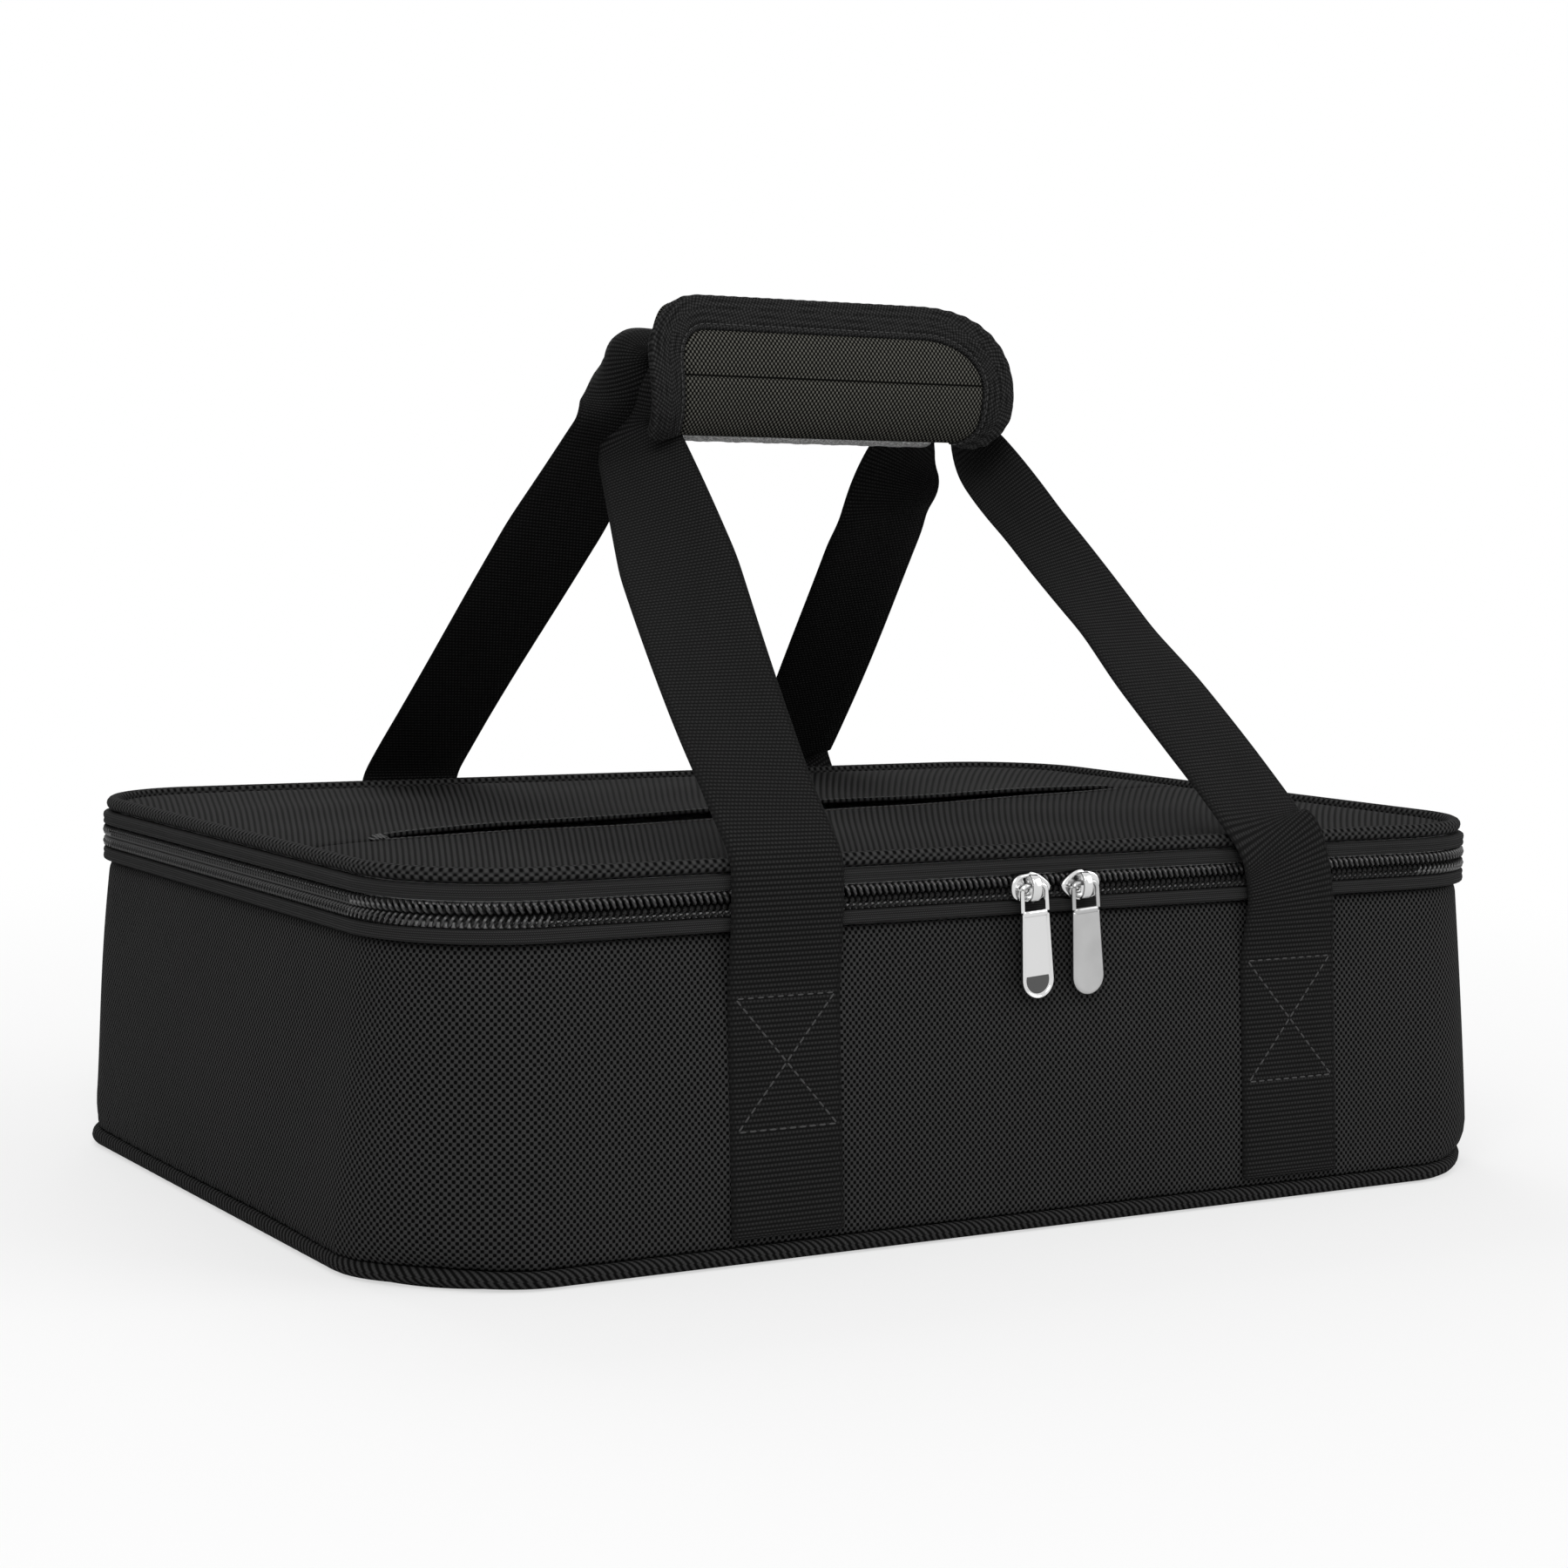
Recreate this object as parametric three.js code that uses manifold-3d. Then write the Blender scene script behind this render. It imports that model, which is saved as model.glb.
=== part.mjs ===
import * as THREE from 'three';
import { mergeVertices } from 'three/addons/utils/BufferGeometryUtils.js';
import Module from 'manifold-3d';

const wasm = await Module();
wasm.setup();

// Insulated casserole carrier, in millimetres. +X runs along the long side, -Y is the front
// with the zip sliders, +Z is up, and the origin is the middle of the underside.

// Case
const CASE_LENGTH = 389;
const CASE_WIDTH = 278;
const CORNER_RADIUS = 40;
const SIDE_HEIGHT = 94;
const SIDE_FLARE = 5.9;
const FABRIC_THICKNESS = 1.4;
const SEAM_GAP = 0.3;
const CORNER_STEPS = 8;

// Underside
const BOTTOM_PIPING_RADIUS = 2.4;
const BOTTOM_FABRIC_THICKNESS = 1.6;
const BOARD_THICKNESS = 2.5;
const FLOOR_FOAM_THICKNESS = 5;
const CORNER_TUCK = 3.4;
const CORNER_LIFT = 0.5;
const TUCK_HEIGHT = 9;

// Insulation and lining
const WALL_FOAM_THICKNESS = 5;
const LINING_THICKNESS = 1;
const RIM_BINDING_HEIGHT = 2;

// Zip
const TAPE_HEIGHT = 4.2;
const TAPE_PROUD = 2.4;
const TAPE_DEPTH = 3.8;
const COIL_HEIGHT = 3.4;
const COIL_PROUD = 2;
const COIL_DEPTH = 2.6;
const HINGE_LENGTH = 250;

// Lid
const PIPING_RADIUS = 2.2;
const PIPING_INSET = 1;
const PIPING_SIDES = 8;
const LID_FABRIC_THICKNESS = 1.4;
const POCKET_BACKING_THICKNESS = 0.7;
const POCKET_BACKING_WIDTH = 44;
const LID_FOAM_THICKNESS = 5;
const SLIT_LEFT_X = -165;
const SLIT_LEFT_Y = -44;
const SLIT_RIGHT_X = 152;
const SLIT_RIGHT_Y = 18;
const SLIT_WIDTH = 3;
const SLIT_END_TAPER = 6;

// Webbing
const WEBBING_WIDTH = 37;
const WEBBING_THICKNESS = 1.6;
const FRONT_STRAP_SPACING = 182.5;
const FRONT_STRAP_SHIFT = 9.75;
const REAR_STRAP_SPACING = 165;
const REAR_STRAP_SHIFT = 11.5;
const RIGHT_STRAP_DRIFT = 7;
const STITCH_TOP = 77;
const STRAP_FOOT = 6;
const BAND_CLEARANCE = 0.6;
const LEG_LEAN = 46 * Math.PI / 180;
const LEG_STEPS = 15;
const LEG_SPLIT_STEP = 6;
const PIPING_ARC_STEPS = 3;
const FOOT_STATIONS = 2 + PIPING_ARC_STEPS;
const BEND_STEPS = 4;
const RISER_STEPS = 4;
const PLUMB_REACH_SHARE = 0.05;
const GATHER_FROM_SHARE = 0.62;
const GATHERED_WIDTH = 18;

// Legs: where the run ends, how far the lean carries, and over which shares of the climb the strap twists
const RUN_LEFT_END = -54.4;
const FRONT_RUN_RIGHT_END = 74;
const REAR_RUN_RIGHT_END = 53.2;
const FRONT_LEAN_SHARES = [0.47, 0.1];
const REAR_LEAN_SHARES = [0.08, 0.1];
const FRONT_LEFT_TWIST_SHARES = [0, 0.66];
const FRONT_RIGHT_TWIST_SHARES = [0.5, 1];
const REAR_LEFT_TWIST_SHARES = [0.58, 0.84];
const REAR_RIGHT_TWIST_SHARES = [0.36, 0.58];
const SLOW_TWIST_SHARE = 1 / 3;
const RISER_HEIGHT = 26;
const RISER_SETBACK = 4;

// Grip
const RUN_HEIGHT = 263;
const STACK_GAP = 2.2;
const BEND_RADIUS = 4;
const GRIP_SHIFT = 9.2;
const GRIP_LENGTH = 139.6;
const GRIP_DROP = 4;
const GRIP_HALF_DEPTH = 14;
const GRIP_HALF_HEIGHT = 20;
const GRIP_ROUNDNESS_SHARE = 0.8;
const WRAP_STEPS = 28;
const ROLL_LEFT_INSET = 10;
const ROLL_RIGHT_INSET = 24;
const COVER_THICKNESS = 1.4;
const FLAP_THICKNESS = 3.4;
const FLAP_BINDING_WIDTH = 12;
const FLAP_BINDING_PROUD = 0.6;
const FLAP_CORNER_RADIUS = 22;
const FLAP_FROM_SHARE = 0.285;
const FLAP_TO_SHARE = 0.67;
const FLAP_STEPS = 14;
const MOUTH_DROP = 2;
const MOUTH_RISE = 1.3;
const HOOK_STRIP_THICKNESS = 1.2;
const HOOK_STRIP_FROM_SHARE = 0.715;
const HOOK_STRIP_TO_SHARE = 0.76;
const HOOK_STRIP_STEPS = 4;
const PAD_END_INSET = 1.5;

// Sliders and pulls
const SLIDER_LENGTH = 14;
const SLIDER_HEIGHT = 9.6;
const SLIDER_PLATE = 1.8;
const SLIDER_SHOULDER_SHARE = 0.75;
const SLIDER_TAIL_SHARE = 0.8;
const BRIDGE_WIDTH = 3;
const BRIDGE_HEIGHT = 7;
const BRIDGE_RISE = 3.9;
const BRIDGE_WALL = 1.2;
const PULL_THICKNESS = 1.4;
const PULL_LENGTH = 34.5;
const PULL_TOP_WIDTH = 9.6;
const PULL_FOOT_WIDTH = 11.2;
const PULL_WINDOW_WIDTH = 6;
const PULL_WINDOW_HEIGHT = 6;
const PULL_BAR_HEIGHT = 1.4;
const LEFT_SLIDER_X = 1.5;
const RIGHT_SLIDER_X = 20;

// Levels, from the underside up
const pipingFoot = SEAM_GAP;
const sideFoot = pipingFoot + 2 * BOTTOM_PIPING_RADIUS + SEAM_GAP;
const boardFoot = BOTTOM_FABRIC_THICKNESS + SEAM_GAP;
const floorFoamFoot = boardFoot + BOARD_THICKNESS + SEAM_GAP;
const liningFoot = floorFoamFoot + FLOOR_FOAM_THICKNESS + SEAM_GAP;
const lowerTapeFoot = SIDE_HEIGHT + SEAM_GAP;
const lowerCoilFoot = lowerTapeFoot + TAPE_HEIGHT + SEAM_GAP;
const zipSplit = lowerCoilFoot + COIL_HEIGHT + SEAM_GAP / 2;
const upperCoilFoot = zipSplit + SEAM_GAP / 2;
const upperTapeFoot = upperCoilFoot + COIL_HEIGHT + SEAM_GAP;
const upperTapeTop = upperTapeFoot + TAPE_HEIGHT;
const pipingCentre = upperTapeTop + SEAM_GAP + PIPING_RADIUS;
const lidPanelFoot = pipingCentre - PIPING_RADIUS / 2;
const backingFoot = lidPanelFoot - SEAM_GAP - POCKET_BACKING_THICKNESS;
const lidFoamFoot = backingFoot - SEAM_GAP - LID_FOAM_THICKNESS;
const lidLiningFoot = lidFoamFoot - SEAM_GAP - LINING_THICKNESS;
const wallTop = zipSplit - SEAM_GAP / 2 - RIM_BINDING_HEIGHT - SEAM_GAP;

// Depths into the wall, from the case's nominal outline
const foamFace = -FABRIC_THICKNESS - SEAM_GAP;
const foamBack = foamFace - WALL_FOAM_THICKNESS;
const liningFace = foamBack - SEAM_GAP;
const liningBack = liningFace - LINING_THICKNESS;
const lidPanelEdge = -PIPING_INSET - PIPING_RADIUS - SEAM_GAP;
const lidPlateEdge = TAPE_PROUD - TAPE_DEPTH - SEAM_GAP;

// Materials
const paint = (color, roughness, metalness = 0) =>
  new THREE.MeshStandardMaterial({ color, roughness, metalness });
const oxford = paint(0x1c1c1d, 0.9);
const ribbed = paint(0x202021, 0.92);
const tapeCloth = paint(0x242426, 0.85);
const nylon = paint(0x101011, 0.45);
const webbingCloth = paint(0x131314, 0.88);
const twill = paint(0x161617, 0.88);
const gripCloth = paint(0x3a3830, 0.9);
const greyTape = paint(0x8c8c88, 0.95);
const foam = paint(0xd9dbd8, 0.95);
const board = paint(0x2a2a2c, 0.7);
const foil = paint(0xb9bcc0, 0.35, 0.6);
const chrome = paint(0xd4d6d8, 0.15, 1);

// Solids

function outward(geometry) {
  const position = geometry.getAttribute('position');
  const index = geometry.index.array;
  const corner = [new THREE.Vector3(), new THREE.Vector3(), new THREE.Vector3()];
  let volume = 0;
  for (let i = 0; i < index.length; i += 3) {
    corner.forEach((point, k) => point.fromBufferAttribute(position, index[i + k]));
    volume += corner[0].dot(corner[1].clone().cross(corner[2]));
  }
  if (volume < 0) {
    for (let i = 0; i < index.length; i += 3) {
      [index[i], index[i + 1]] = [index[i + 1], index[i]];
    }
  }
  geometry.computeVertexNormals();
  return geometry;
}

function surface(points, triangles) {
  const geometry = new THREE.BufferGeometry();
  geometry.setAttribute('position', new THREE.Float32BufferAttribute(points.flat(), 3));
  geometry.setIndex(triangles.flat());
  return outward(geometry);
}

// Rows of points joined into a skin: each row is a loop, and the rows close on themselves or end in flat
// faces. Each four-sided patch is split across its shorter diagonal, so that skins side by side stay parallel.
function loft(rows, closed) {
  const count = rows[0].length;
  const triangles = [];
  const gap = (i, j, nextI, nextJ) => Math.hypot(...rows[i][j].map((v, k) => v - rows[nextI][nextJ][k]));
  const joined = closed ? rows.length : rows.length - 1;
  for (let i = 0; i < joined; i++) {
    const next = (i + 1) % rows.length;
    for (let j = 0; j < count; j++) {
      const nextJ = (j + 1) % count;
      const [a, b] = [i * count + j, i * count + nextJ];
      const [c, d] = [next * count + j, next * count + nextJ];
      if (gap(i, j, next, nextJ) <= gap(i, nextJ, next, j)) {
        triangles.push([a, b, d], [a, d, c]);
      } else {
        triangles.push([a, b, c], [b, d, c]);
      }
    }
  }
  const points = rows.flat();
  if (!closed) {
    [0, rows.length - 1].forEach((row, end) => {
      const middle = rows[row].reduce((sum, p) => sum.map((v, k) => v + p[k] / count), [0, 0, 0]);
      points.push(middle);
      for (let j = 0; j < count; j++) {
        const a = row * count + j;
        const b = row * count + (j + 1) % count;
        triangles.push(end === 0 ? [points.length - 1, b, a] : [points.length - 1, a, b]);
      }
    });
  }
  return surface(points, triangles);
}

// Stations round the plan, anticlockwise from the rear left corner. Each has the centre that its point
// is measured from, its outward direction, and how far it lies into a corner, from 0 to 1.
function planStations(open) {
  const centreX = CASE_LENGTH / 2 - CORNER_RADIUS;
  const centreY = CASE_WIDTH / 2 - CORNER_RADIUS;
  const stations = [];
  [[-1, 1], [-1, -1], [1, -1], [1, 1]].forEach(([sx, sy], k) => {
    for (let i = 0; i <= CORNER_STEPS; i++) {
      const angle = Math.PI / 2 * (k + 1 + i / CORNER_STEPS);
      stations.push({
        centre: [sx * centreX, sy * centreY],
        out: [Math.cos(angle), Math.sin(angle)],
        corner: Math.sin(Math.PI * i / CORNER_STEPS) ** 2,
      });
    }
  });
  if (open) {
    const end = HINGE_LENGTH / 2 + SEAM_GAP;
    stations.unshift({ centre: [-end, centreY], out: [0, 1], corner: 0 });
    stations.push({ centre: [end, centreY], out: [0, 1], corner: 0 });
  }
  return stations;
}

// A profile point is [out, up, extra out at the corners, extra up at the corners].
function planPoint({ centre, out, corner }, [o, z, cornerOut = 0, cornerUp = 0]) {
  const radius = CORNER_RADIUS + o + corner * cornerOut;
  return [centre[0] + radius * out[0], centre[1] + radius * out[1], z + corner * cornerUp];
}

const ring = (profile) => loft(planStations(false).map((s) => profile.map((p) => planPoint(s, p))), true);
const openBand = (profile) => loft(planStations(true).map((s) => profile.map((p) => planPoint(s, p))), false);
const cup = (profile) => loft(profile.map((p) => planStations(false).map((s) => planPoint(s, p))), false);
const plate = (edge, foot, thickness) => cup([[edge, foot], [edge, foot + thickness]]);

function roundProfile(out, up, radius, sides, cornerOut = 0, cornerUp = 0) {
  return Array.from({ length: sides }, (_, i) => {
    const angle = 2 * Math.PI * (i + 1 / 2) / sides;
    return [out + radius * Math.cos(angle), up + radius * Math.sin(angle), cornerOut, cornerUp];
  });
}

// A band with its outer edges rounded off, as folded tape and coil have.
function bulgeProfile(proud, depth, foot, height) {
  const soft = Math.min(height, depth) / 3;
  return [
    [proud - depth, foot], [proud - soft, foot], [proud, foot + soft],
    [proud, foot + height - soft], [proud - soft, foot + height], [proud - depth, foot + height],
  ];
}

// A flat outline drawn in two of the axes and pushed along the third.
const alongX = new THREE.Matrix4().makeBasis(
  new THREE.Vector3(0, 1, 0), new THREE.Vector3(0, 0, 1), new THREE.Vector3(1, 0, 0));
const alongY = new THREE.Matrix4().makeBasis(
  new THREE.Vector3(-1, 0, 0), new THREE.Vector3(0, 0, 1), new THREE.Vector3(0, 1, 0));
const alongZ = new THREE.Matrix4();

const pathPoints = (pairs) => pairs.map(([a, b]) => new THREE.Vector2(a, b));

function prism(shape, axes, from, to, curveSegments = 6) {
  const outline = Array.isArray(shape) ? new THREE.Shape(pathPoints(shape)) : shape;
  const geometry = new THREE.ExtrudeGeometry(
    outline, { depth: to - from, bevelEnabled: false, curveSegments });
  return geometry.translate(0, 0, from).applyMatrix4(axes);
}

function solid(geometry) {
  const bare = geometry.clone();
  bare.deleteAttribute('normal');
  bare.deleteAttribute('uv');
  const merged = mergeVertices(bare);
  return new wasm.Manifold(new wasm.Mesh({
    numProp: 3,
    vertProperties: new Float32Array(merged.getAttribute('position').array),
    triVerts: new Uint32Array(merged.index.array),
  }));
}

function geometryOf(manifold) {
  const mesh = manifold.getMesh();
  const geometry = new THREE.BufferGeometry();
  geometry.setAttribute('position', new THREE.Float32BufferAttribute(mesh.vertProperties, 3));
  geometry.setIndex(Array.from(mesh.triVerts));
  geometry.computeVertexNormals();
  return geometry;
}

const carrier = new THREE.Group();

function add(parent, name, geometry, material) {
  const mesh = new THREE.Mesh(geometry, material);
  mesh.name = name;
  parent.add(mesh);
  return mesh;
}

// Case walls lean out a little towards the foot.
const flareAt = (z) => SIDE_FLARE * (1 - z / SIDE_HEIGHT);

function makeUnderside(base) {
  const pipingOut = flareAt(sideFoot) - FABRIC_THICKNESS / 2;
  const fabricEdge = pipingOut - BOTTOM_PIPING_RADIUS - SEAM_GAP;
  const tuckedPlate = (edge, foot, thickness) =>
    cup([[edge, foot, -CORNER_TUCK, 0], [edge, foot + thickness, -CORNER_TUCK, 0]]);
  add(base, 'base_bottom_fabric', tuckedPlate(fabricEdge, 0, BOTTOM_FABRIC_THICKNESS), oxford);
  add(base, 'bottom_piping', ring(roundProfile(pipingOut, pipingFoot + BOTTOM_PIPING_RADIUS,
    BOTTOM_PIPING_RADIUS, PIPING_SIDES, -CORNER_TUCK, CORNER_LIFT)), oxford);
  add(base, 'base_stiffener_board', tuckedPlate(fabricEdge, boardFoot, BOARD_THICKNESS), board);
}

function makeBaseWalls(base) {
  const flareMid = flareAt(sideFoot + TUCK_HEIGHT);
  add(base, 'base_side_fabric', ring([
    [flareAt(sideFoot) - FABRIC_THICKNESS, sideFoot, -CORNER_TUCK, CORNER_LIFT],
    [flareAt(sideFoot), sideFoot, -CORNER_TUCK, CORNER_LIFT],
    [flareMid, sideFoot + TUCK_HEIGHT],
    [0, SIDE_HEIGHT],
    [-FABRIC_THICKNESS, SIDE_HEIGHT],
    [flareMid - FABRIC_THICKNESS, sideFoot + TUCK_HEIGHT],
  ]), oxford);
  add(base, 'base_wall_foam', ring([
    [foamBack, floorFoamFoot],
    [foamFace, floorFoamFoot, -CORNER_TUCK, 0],
    [flareAt(sideFoot) + foamFace, sideFoot, -CORNER_TUCK, CORNER_LIFT],
    [flareMid + foamFace, sideFoot + TUCK_HEIGHT],
    [foamFace, SIDE_HEIGHT],
    [foamFace, wallTop],
    [foamBack, wallTop],
  ]), foam);
  add(base, 'base_floor_foam', plate(foamBack - SEAM_GAP, floorFoamFoot, FLOOR_FOAM_THICKNESS), foam);
  add(base, 'base_lining', cup([
    [liningFace, liningFoot],
    [liningFace, wallTop],
    [liningBack, wallTop],
    [liningBack, liningFoot + LINING_THICKNESS],
  ]), foil);
  add(base, 'base_rim_binding', ring([
    [liningBack, wallTop + SEAM_GAP],
    [foamFace, wallTop + SEAM_GAP],
    [foamFace, wallTop + SEAM_GAP + RIM_BINDING_HEIGHT],
    [liningBack, wallTop + SEAM_GAP + RIM_BINDING_HEIGHT],
  ]), twill);
}

// The zip runs round the front and both ends, and a fabric strip hinges the lid behind.
function makeZipHalf(body, half, tapeFoot, coilFoot) {
  const tape = bulgeProfile(TAPE_PROUD, TAPE_DEPTH, tapeFoot, TAPE_HEIGHT);
  const coil = bulgeProfile(COIL_PROUD, COIL_DEPTH, coilFoot, COIL_HEIGHT);
  add(body, `${half}_zip_tape`, openBand(tape), tapeCloth);
  add(body, `${half}_zip_coil`, openBand(coil), nylon);
}

function makeHingeStrip(body, name, foot, top) {
  const face = CASE_WIDTH / 2 + TAPE_PROUD;
  const back = face - TAPE_DEPTH;
  const outline = [[back, foot], [face, foot], [face, top], [back, top]];
  add(body, name, prism(outline, alongX, -HINGE_LENGTH / 2, HINGE_LENGTH / 2), tapeCloth);
}

// One half of the lid's top: the line between the halves slants, and opens into the pocket's slit.
function lidPanel(side) {
  const slope = (SLIT_RIGHT_Y - SLIT_LEFT_Y) / (SLIT_RIGHT_X - SLIT_LEFT_X);
  const lineAt = (x) => SLIT_LEFT_Y + slope * (x - SLIT_LEFT_X);
  const closed = side * SEAM_GAP / 2;
  const open = side * SLIT_WIDTH / 2;
  const edge = [
    [-CASE_LENGTH, closed], [SLIT_LEFT_X, closed], [SLIT_LEFT_X + SLIT_END_TAPER, open],
    [SLIT_RIGHT_X - SLIT_END_TAPER, open], [SLIT_RIGHT_X, closed], [CASE_LENGTH, closed],
  ].map(([x, shift]) => [x, lineAt(x) + shift]);
  const cutter = [...edge, [CASE_LENGTH, -side * CASE_WIDTH], [-CASE_LENGTH, -side * CASE_WIDTH]];
  const top = lidPanelFoot + LID_FABRIC_THICKNESS;
  const away = prism(side > 0 ? cutter.reverse() : cutter, alongZ, backingFoot, top + LID_FABRIC_THICKNESS);
  return geometryOf(solid(plate(lidPanelEdge, lidPanelFoot, LID_FABRIC_THICKNESS)).subtract(solid(away)));
}

function makeLid(lid) {
  add(lid, 'lid_front_panel', lidPanel(-1), ribbed);
  add(lid, 'lid_rear_panel', lidPanel(1), ribbed);
  const half = POCKET_BACKING_WIDTH / 2;
  add(lid, 'lid_pocket_backing', prism([
    [SLIT_LEFT_X, SLIT_LEFT_Y - half], [SLIT_RIGHT_X, SLIT_RIGHT_Y - half],
    [SLIT_RIGHT_X, SLIT_RIGHT_Y + half], [SLIT_LEFT_X, SLIT_LEFT_Y + half],
  ], alongZ, backingFoot, backingFoot + POCKET_BACKING_THICKNESS), tapeCloth);
  const piping = roundProfile(-PIPING_INSET, pipingCentre, PIPING_RADIUS, PIPING_SIDES);
  add(lid, 'lid_piping', ring(piping), ribbed);
  add(lid, 'lid_foam', plate(lidPlateEdge, lidFoamFoot, LID_FOAM_THICKNESS), foam);
  add(lid, 'lid_lining', plate(lidPlateEdge, lidLiningFoot, LINING_THICKNESS), foil);
  makeZipHalf(lid, 'upper', upperTapeFoot, upperCoilFoot);
  makeHingeStrip(lid, 'lid_hinge_strip', upperCoilFoot, upperTapeTop);
}

// Webbing

const strapFootX = (side, face) => (face < 0
  ? FRONT_STRAP_SHIFT + side * FRONT_STRAP_SPACING / 2
  : REAR_STRAP_SHIFT + side * REAR_STRAP_SPACING / 2);
const anchorDepth = (z) => CASE_WIDTH / 2 + flareAt(z) + SEAM_GAP;

// The stretch sewn flat to the wall, from the foot of the case to the top of its stitched box.
function makeAnchor(base, name, side, face) {
  const outline = [
    [face * anchorDepth(STRAP_FOOT), STRAP_FOOT],
    [face * (anchorDepth(STRAP_FOOT) + WEBBING_THICKNESS), STRAP_FOOT],
    [face * (anchorDepth(STITCH_TOP) + WEBBING_THICKNESS), STITCH_TOP],
    [face * anchorDepth(STITCH_TOP), STITCH_TOP],
  ];
  const x = strapFootX(side, face);
  add(base, name, prism(outline, alongX, x - WEBBING_WIDTH / 2, x + WEBBING_WIDTH / 2), webbingCloth);
}

// Handle leg stations, from the top of the stitched box to the flat run inside the grip: up past the zip,
// round the lid's piping, a leaning stretch that turns edge on, a riser behind the grip's flap where the
// leg has one, and the bend into the run, where the strap is gathered to a lesser width.
// level counts the bends outwards: 0 for the inner strap and 1 for the outer one.
function legStations(side, face, level, { runEnd, lean, twist, ease, riser }) {
  const footX = strapFootX(side, face);
  const x = side > 0 ? footX - RIGHT_STRAP_DRIFT : footX;
  const pipingY = CASE_WIDTH / 2 - PIPING_INSET;
  const bandY = CASE_WIDTH / 2 + TAPE_PROUD + BAND_CLEARANCE + WEBBING_THICKNESS / 2;
  const flat = new THREE.Vector3(side, 0, 0);
  const stations = [];
  const put = (px, py, pz, width, wide) =>
    stations.push({ at: new THREE.Vector3(px, face * py, pz), width, wide });
  put(footX, anchorDepth(STITCH_TOP) + WEBBING_THICKNESS / 2, STITCH_TOP + SEAM_GAP, flat, WEBBING_WIDTH);
  put(footX, bandY, lowerTapeFoot, flat, WEBBING_WIDTH);
  const radius = bandY - pipingY;
  for (let i = 0; i < PIPING_ARC_STEPS; i++) {
    const angle = LEG_LEAN * i / PIPING_ARC_STEPS;
    put(x, pipingY + radius * Math.cos(angle), pipingCentre + radius * Math.sin(angle), flat, WEBBING_WIDTH);
  }
  const start = new THREE.Vector3(
    x, face * (pipingY + radius * Math.cos(LEG_LEAN)), pipingCentre + radius * Math.sin(LEG_LEAN));
  const bendRadius = BEND_RADIUS + level * (WEBBING_THICKNESS + STACK_GAP);
  const bendCentre = RUN_HEIGHT - BEND_RADIUS;
  const finish = new THREE.Vector3(
    runEnd + side * bendRadius, riser ? RISER_SETBACK : 0, riser ? bendCentre - RISER_HEIGHT : bendCentre);
  const reach = start.distanceTo(finish);
  const leaning = new THREE.Vector3(0, -face * Math.sin(LEG_LEAN), Math.cos(LEG_LEAN));
  const leg = new THREE.CubicBezierCurve3(
    start, start.clone().addScaledVector(leaning, reach * lean),
    finish.clone().add(new THREE.Vector3(0, 0, -reach * PLUMB_REACH_SHARE)), finish);
  const climb = LEG_STEPS + (riser ? RISER_STEPS : 0);
  for (let i = 0; i <= climb; i++) {
    const [from, to] = twist;
    const turn = Math.PI / 2 * THREE.MathUtils.clamp((i / climb - from) / (to - from), 0, 1) ** (1 / ease);
    const gather = THREE.MathUtils.clamp((i / climb - GATHER_FROM_SHARE) / (1 - GATHER_FROM_SHARE), 0, 1);
    const at = leg.getPoint(Math.min(i / LEG_STEPS, 1));
    if (i > LEG_STEPS) {
      const risen = (i - LEG_STEPS) / RISER_STEPS;
      at.z += RISER_HEIGHT * risen;
      at.y -= RISER_SETBACK * risen;
    }
    stations.push({
      at,
      width: new THREE.Vector3(side * Math.cos(turn), -face * Math.sin(turn), 0),
      wide: THREE.MathUtils.lerp(WEBBING_WIDTH, GATHERED_WIDTH, gather),
    });
  }
  for (let i = 1; i <= BEND_STEPS; i++) {
    const angle = Math.PI / 2 * i / BEND_STEPS;
    put(runEnd + side * bendRadius * Math.cos(angle), 0, bendCentre + bendRadius * Math.sin(angle),
      new THREE.Vector3(0, -face, 0), GATHERED_WIDTH);
  }
  return stations;
}

function withTangents(stations) {
  stations.forEach((station, i) => {
    const before = stations[Math.max(i - 1, 0)].at;
    const after = stations[Math.min(i + 1, stations.length - 1)].at;
    station.along = after.clone().sub(before).normalize();
  });
  return stations;
}

// Flat webbing through its stations: a thin oblong section, square to the way the strap runs.
function ribbon(stations) {
  const rows = stations.map(({ at, width, wide, along }) => {
    const normal = along.clone().cross(width).normalize();
    const across = normal.clone().cross(along).normalize();
    const corner = (u, v) => at.clone()
      .addScaledVector(across, u * wide / 2)
      .addScaledVector(normal, v * WEBBING_THICKNESS / 2).toArray();
    return [corner(-1, -1), corner(1, -1), corner(1, 1), corner(-1, 1)];
  });
  return loft(rows, false);
}

function shifted(station, distance) {
  return { ...station, at: station.at.clone().addScaledVector(station.along, distance) };
}

function handleStations(face, level, left, right) {
  return withTangents([...legStations(-1, face, level, left), ...legStations(1, face, level, right).reverse()]);
}

// Grip

// Outline of the padded wrap in Y and Z, as a rounded oblong between two angles from the rear round the top.
function wrapCurve(grow, fromShare, toShare, steps) {
  return Array.from({ length: steps + 1 }, (_, i) => {
    const angle = 2 * Math.PI * (fromShare + (toShare - fromShare) * i / steps);
    const part = (value) => Math.sign(value) * Math.abs(value) ** GRIP_ROUNDNESS_SHARE;
    return [(GRIP_HALF_DEPTH + grow) * part(Math.cos(angle)),
      gripCentre + (GRIP_HALF_HEIGHT + grow) * part(Math.sin(angle))];
  });
}

function wrapShell(inner, thickness, fromShare, toShare, steps, from, to) {
  const outside = wrapCurve(inner + thickness, fromShare, toShare, steps);
  const inside = wrapCurve(inner, fromShare, toShare, steps).reverse();
  return prism([...outside, ...inside], alongX, from, to);
}

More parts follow.
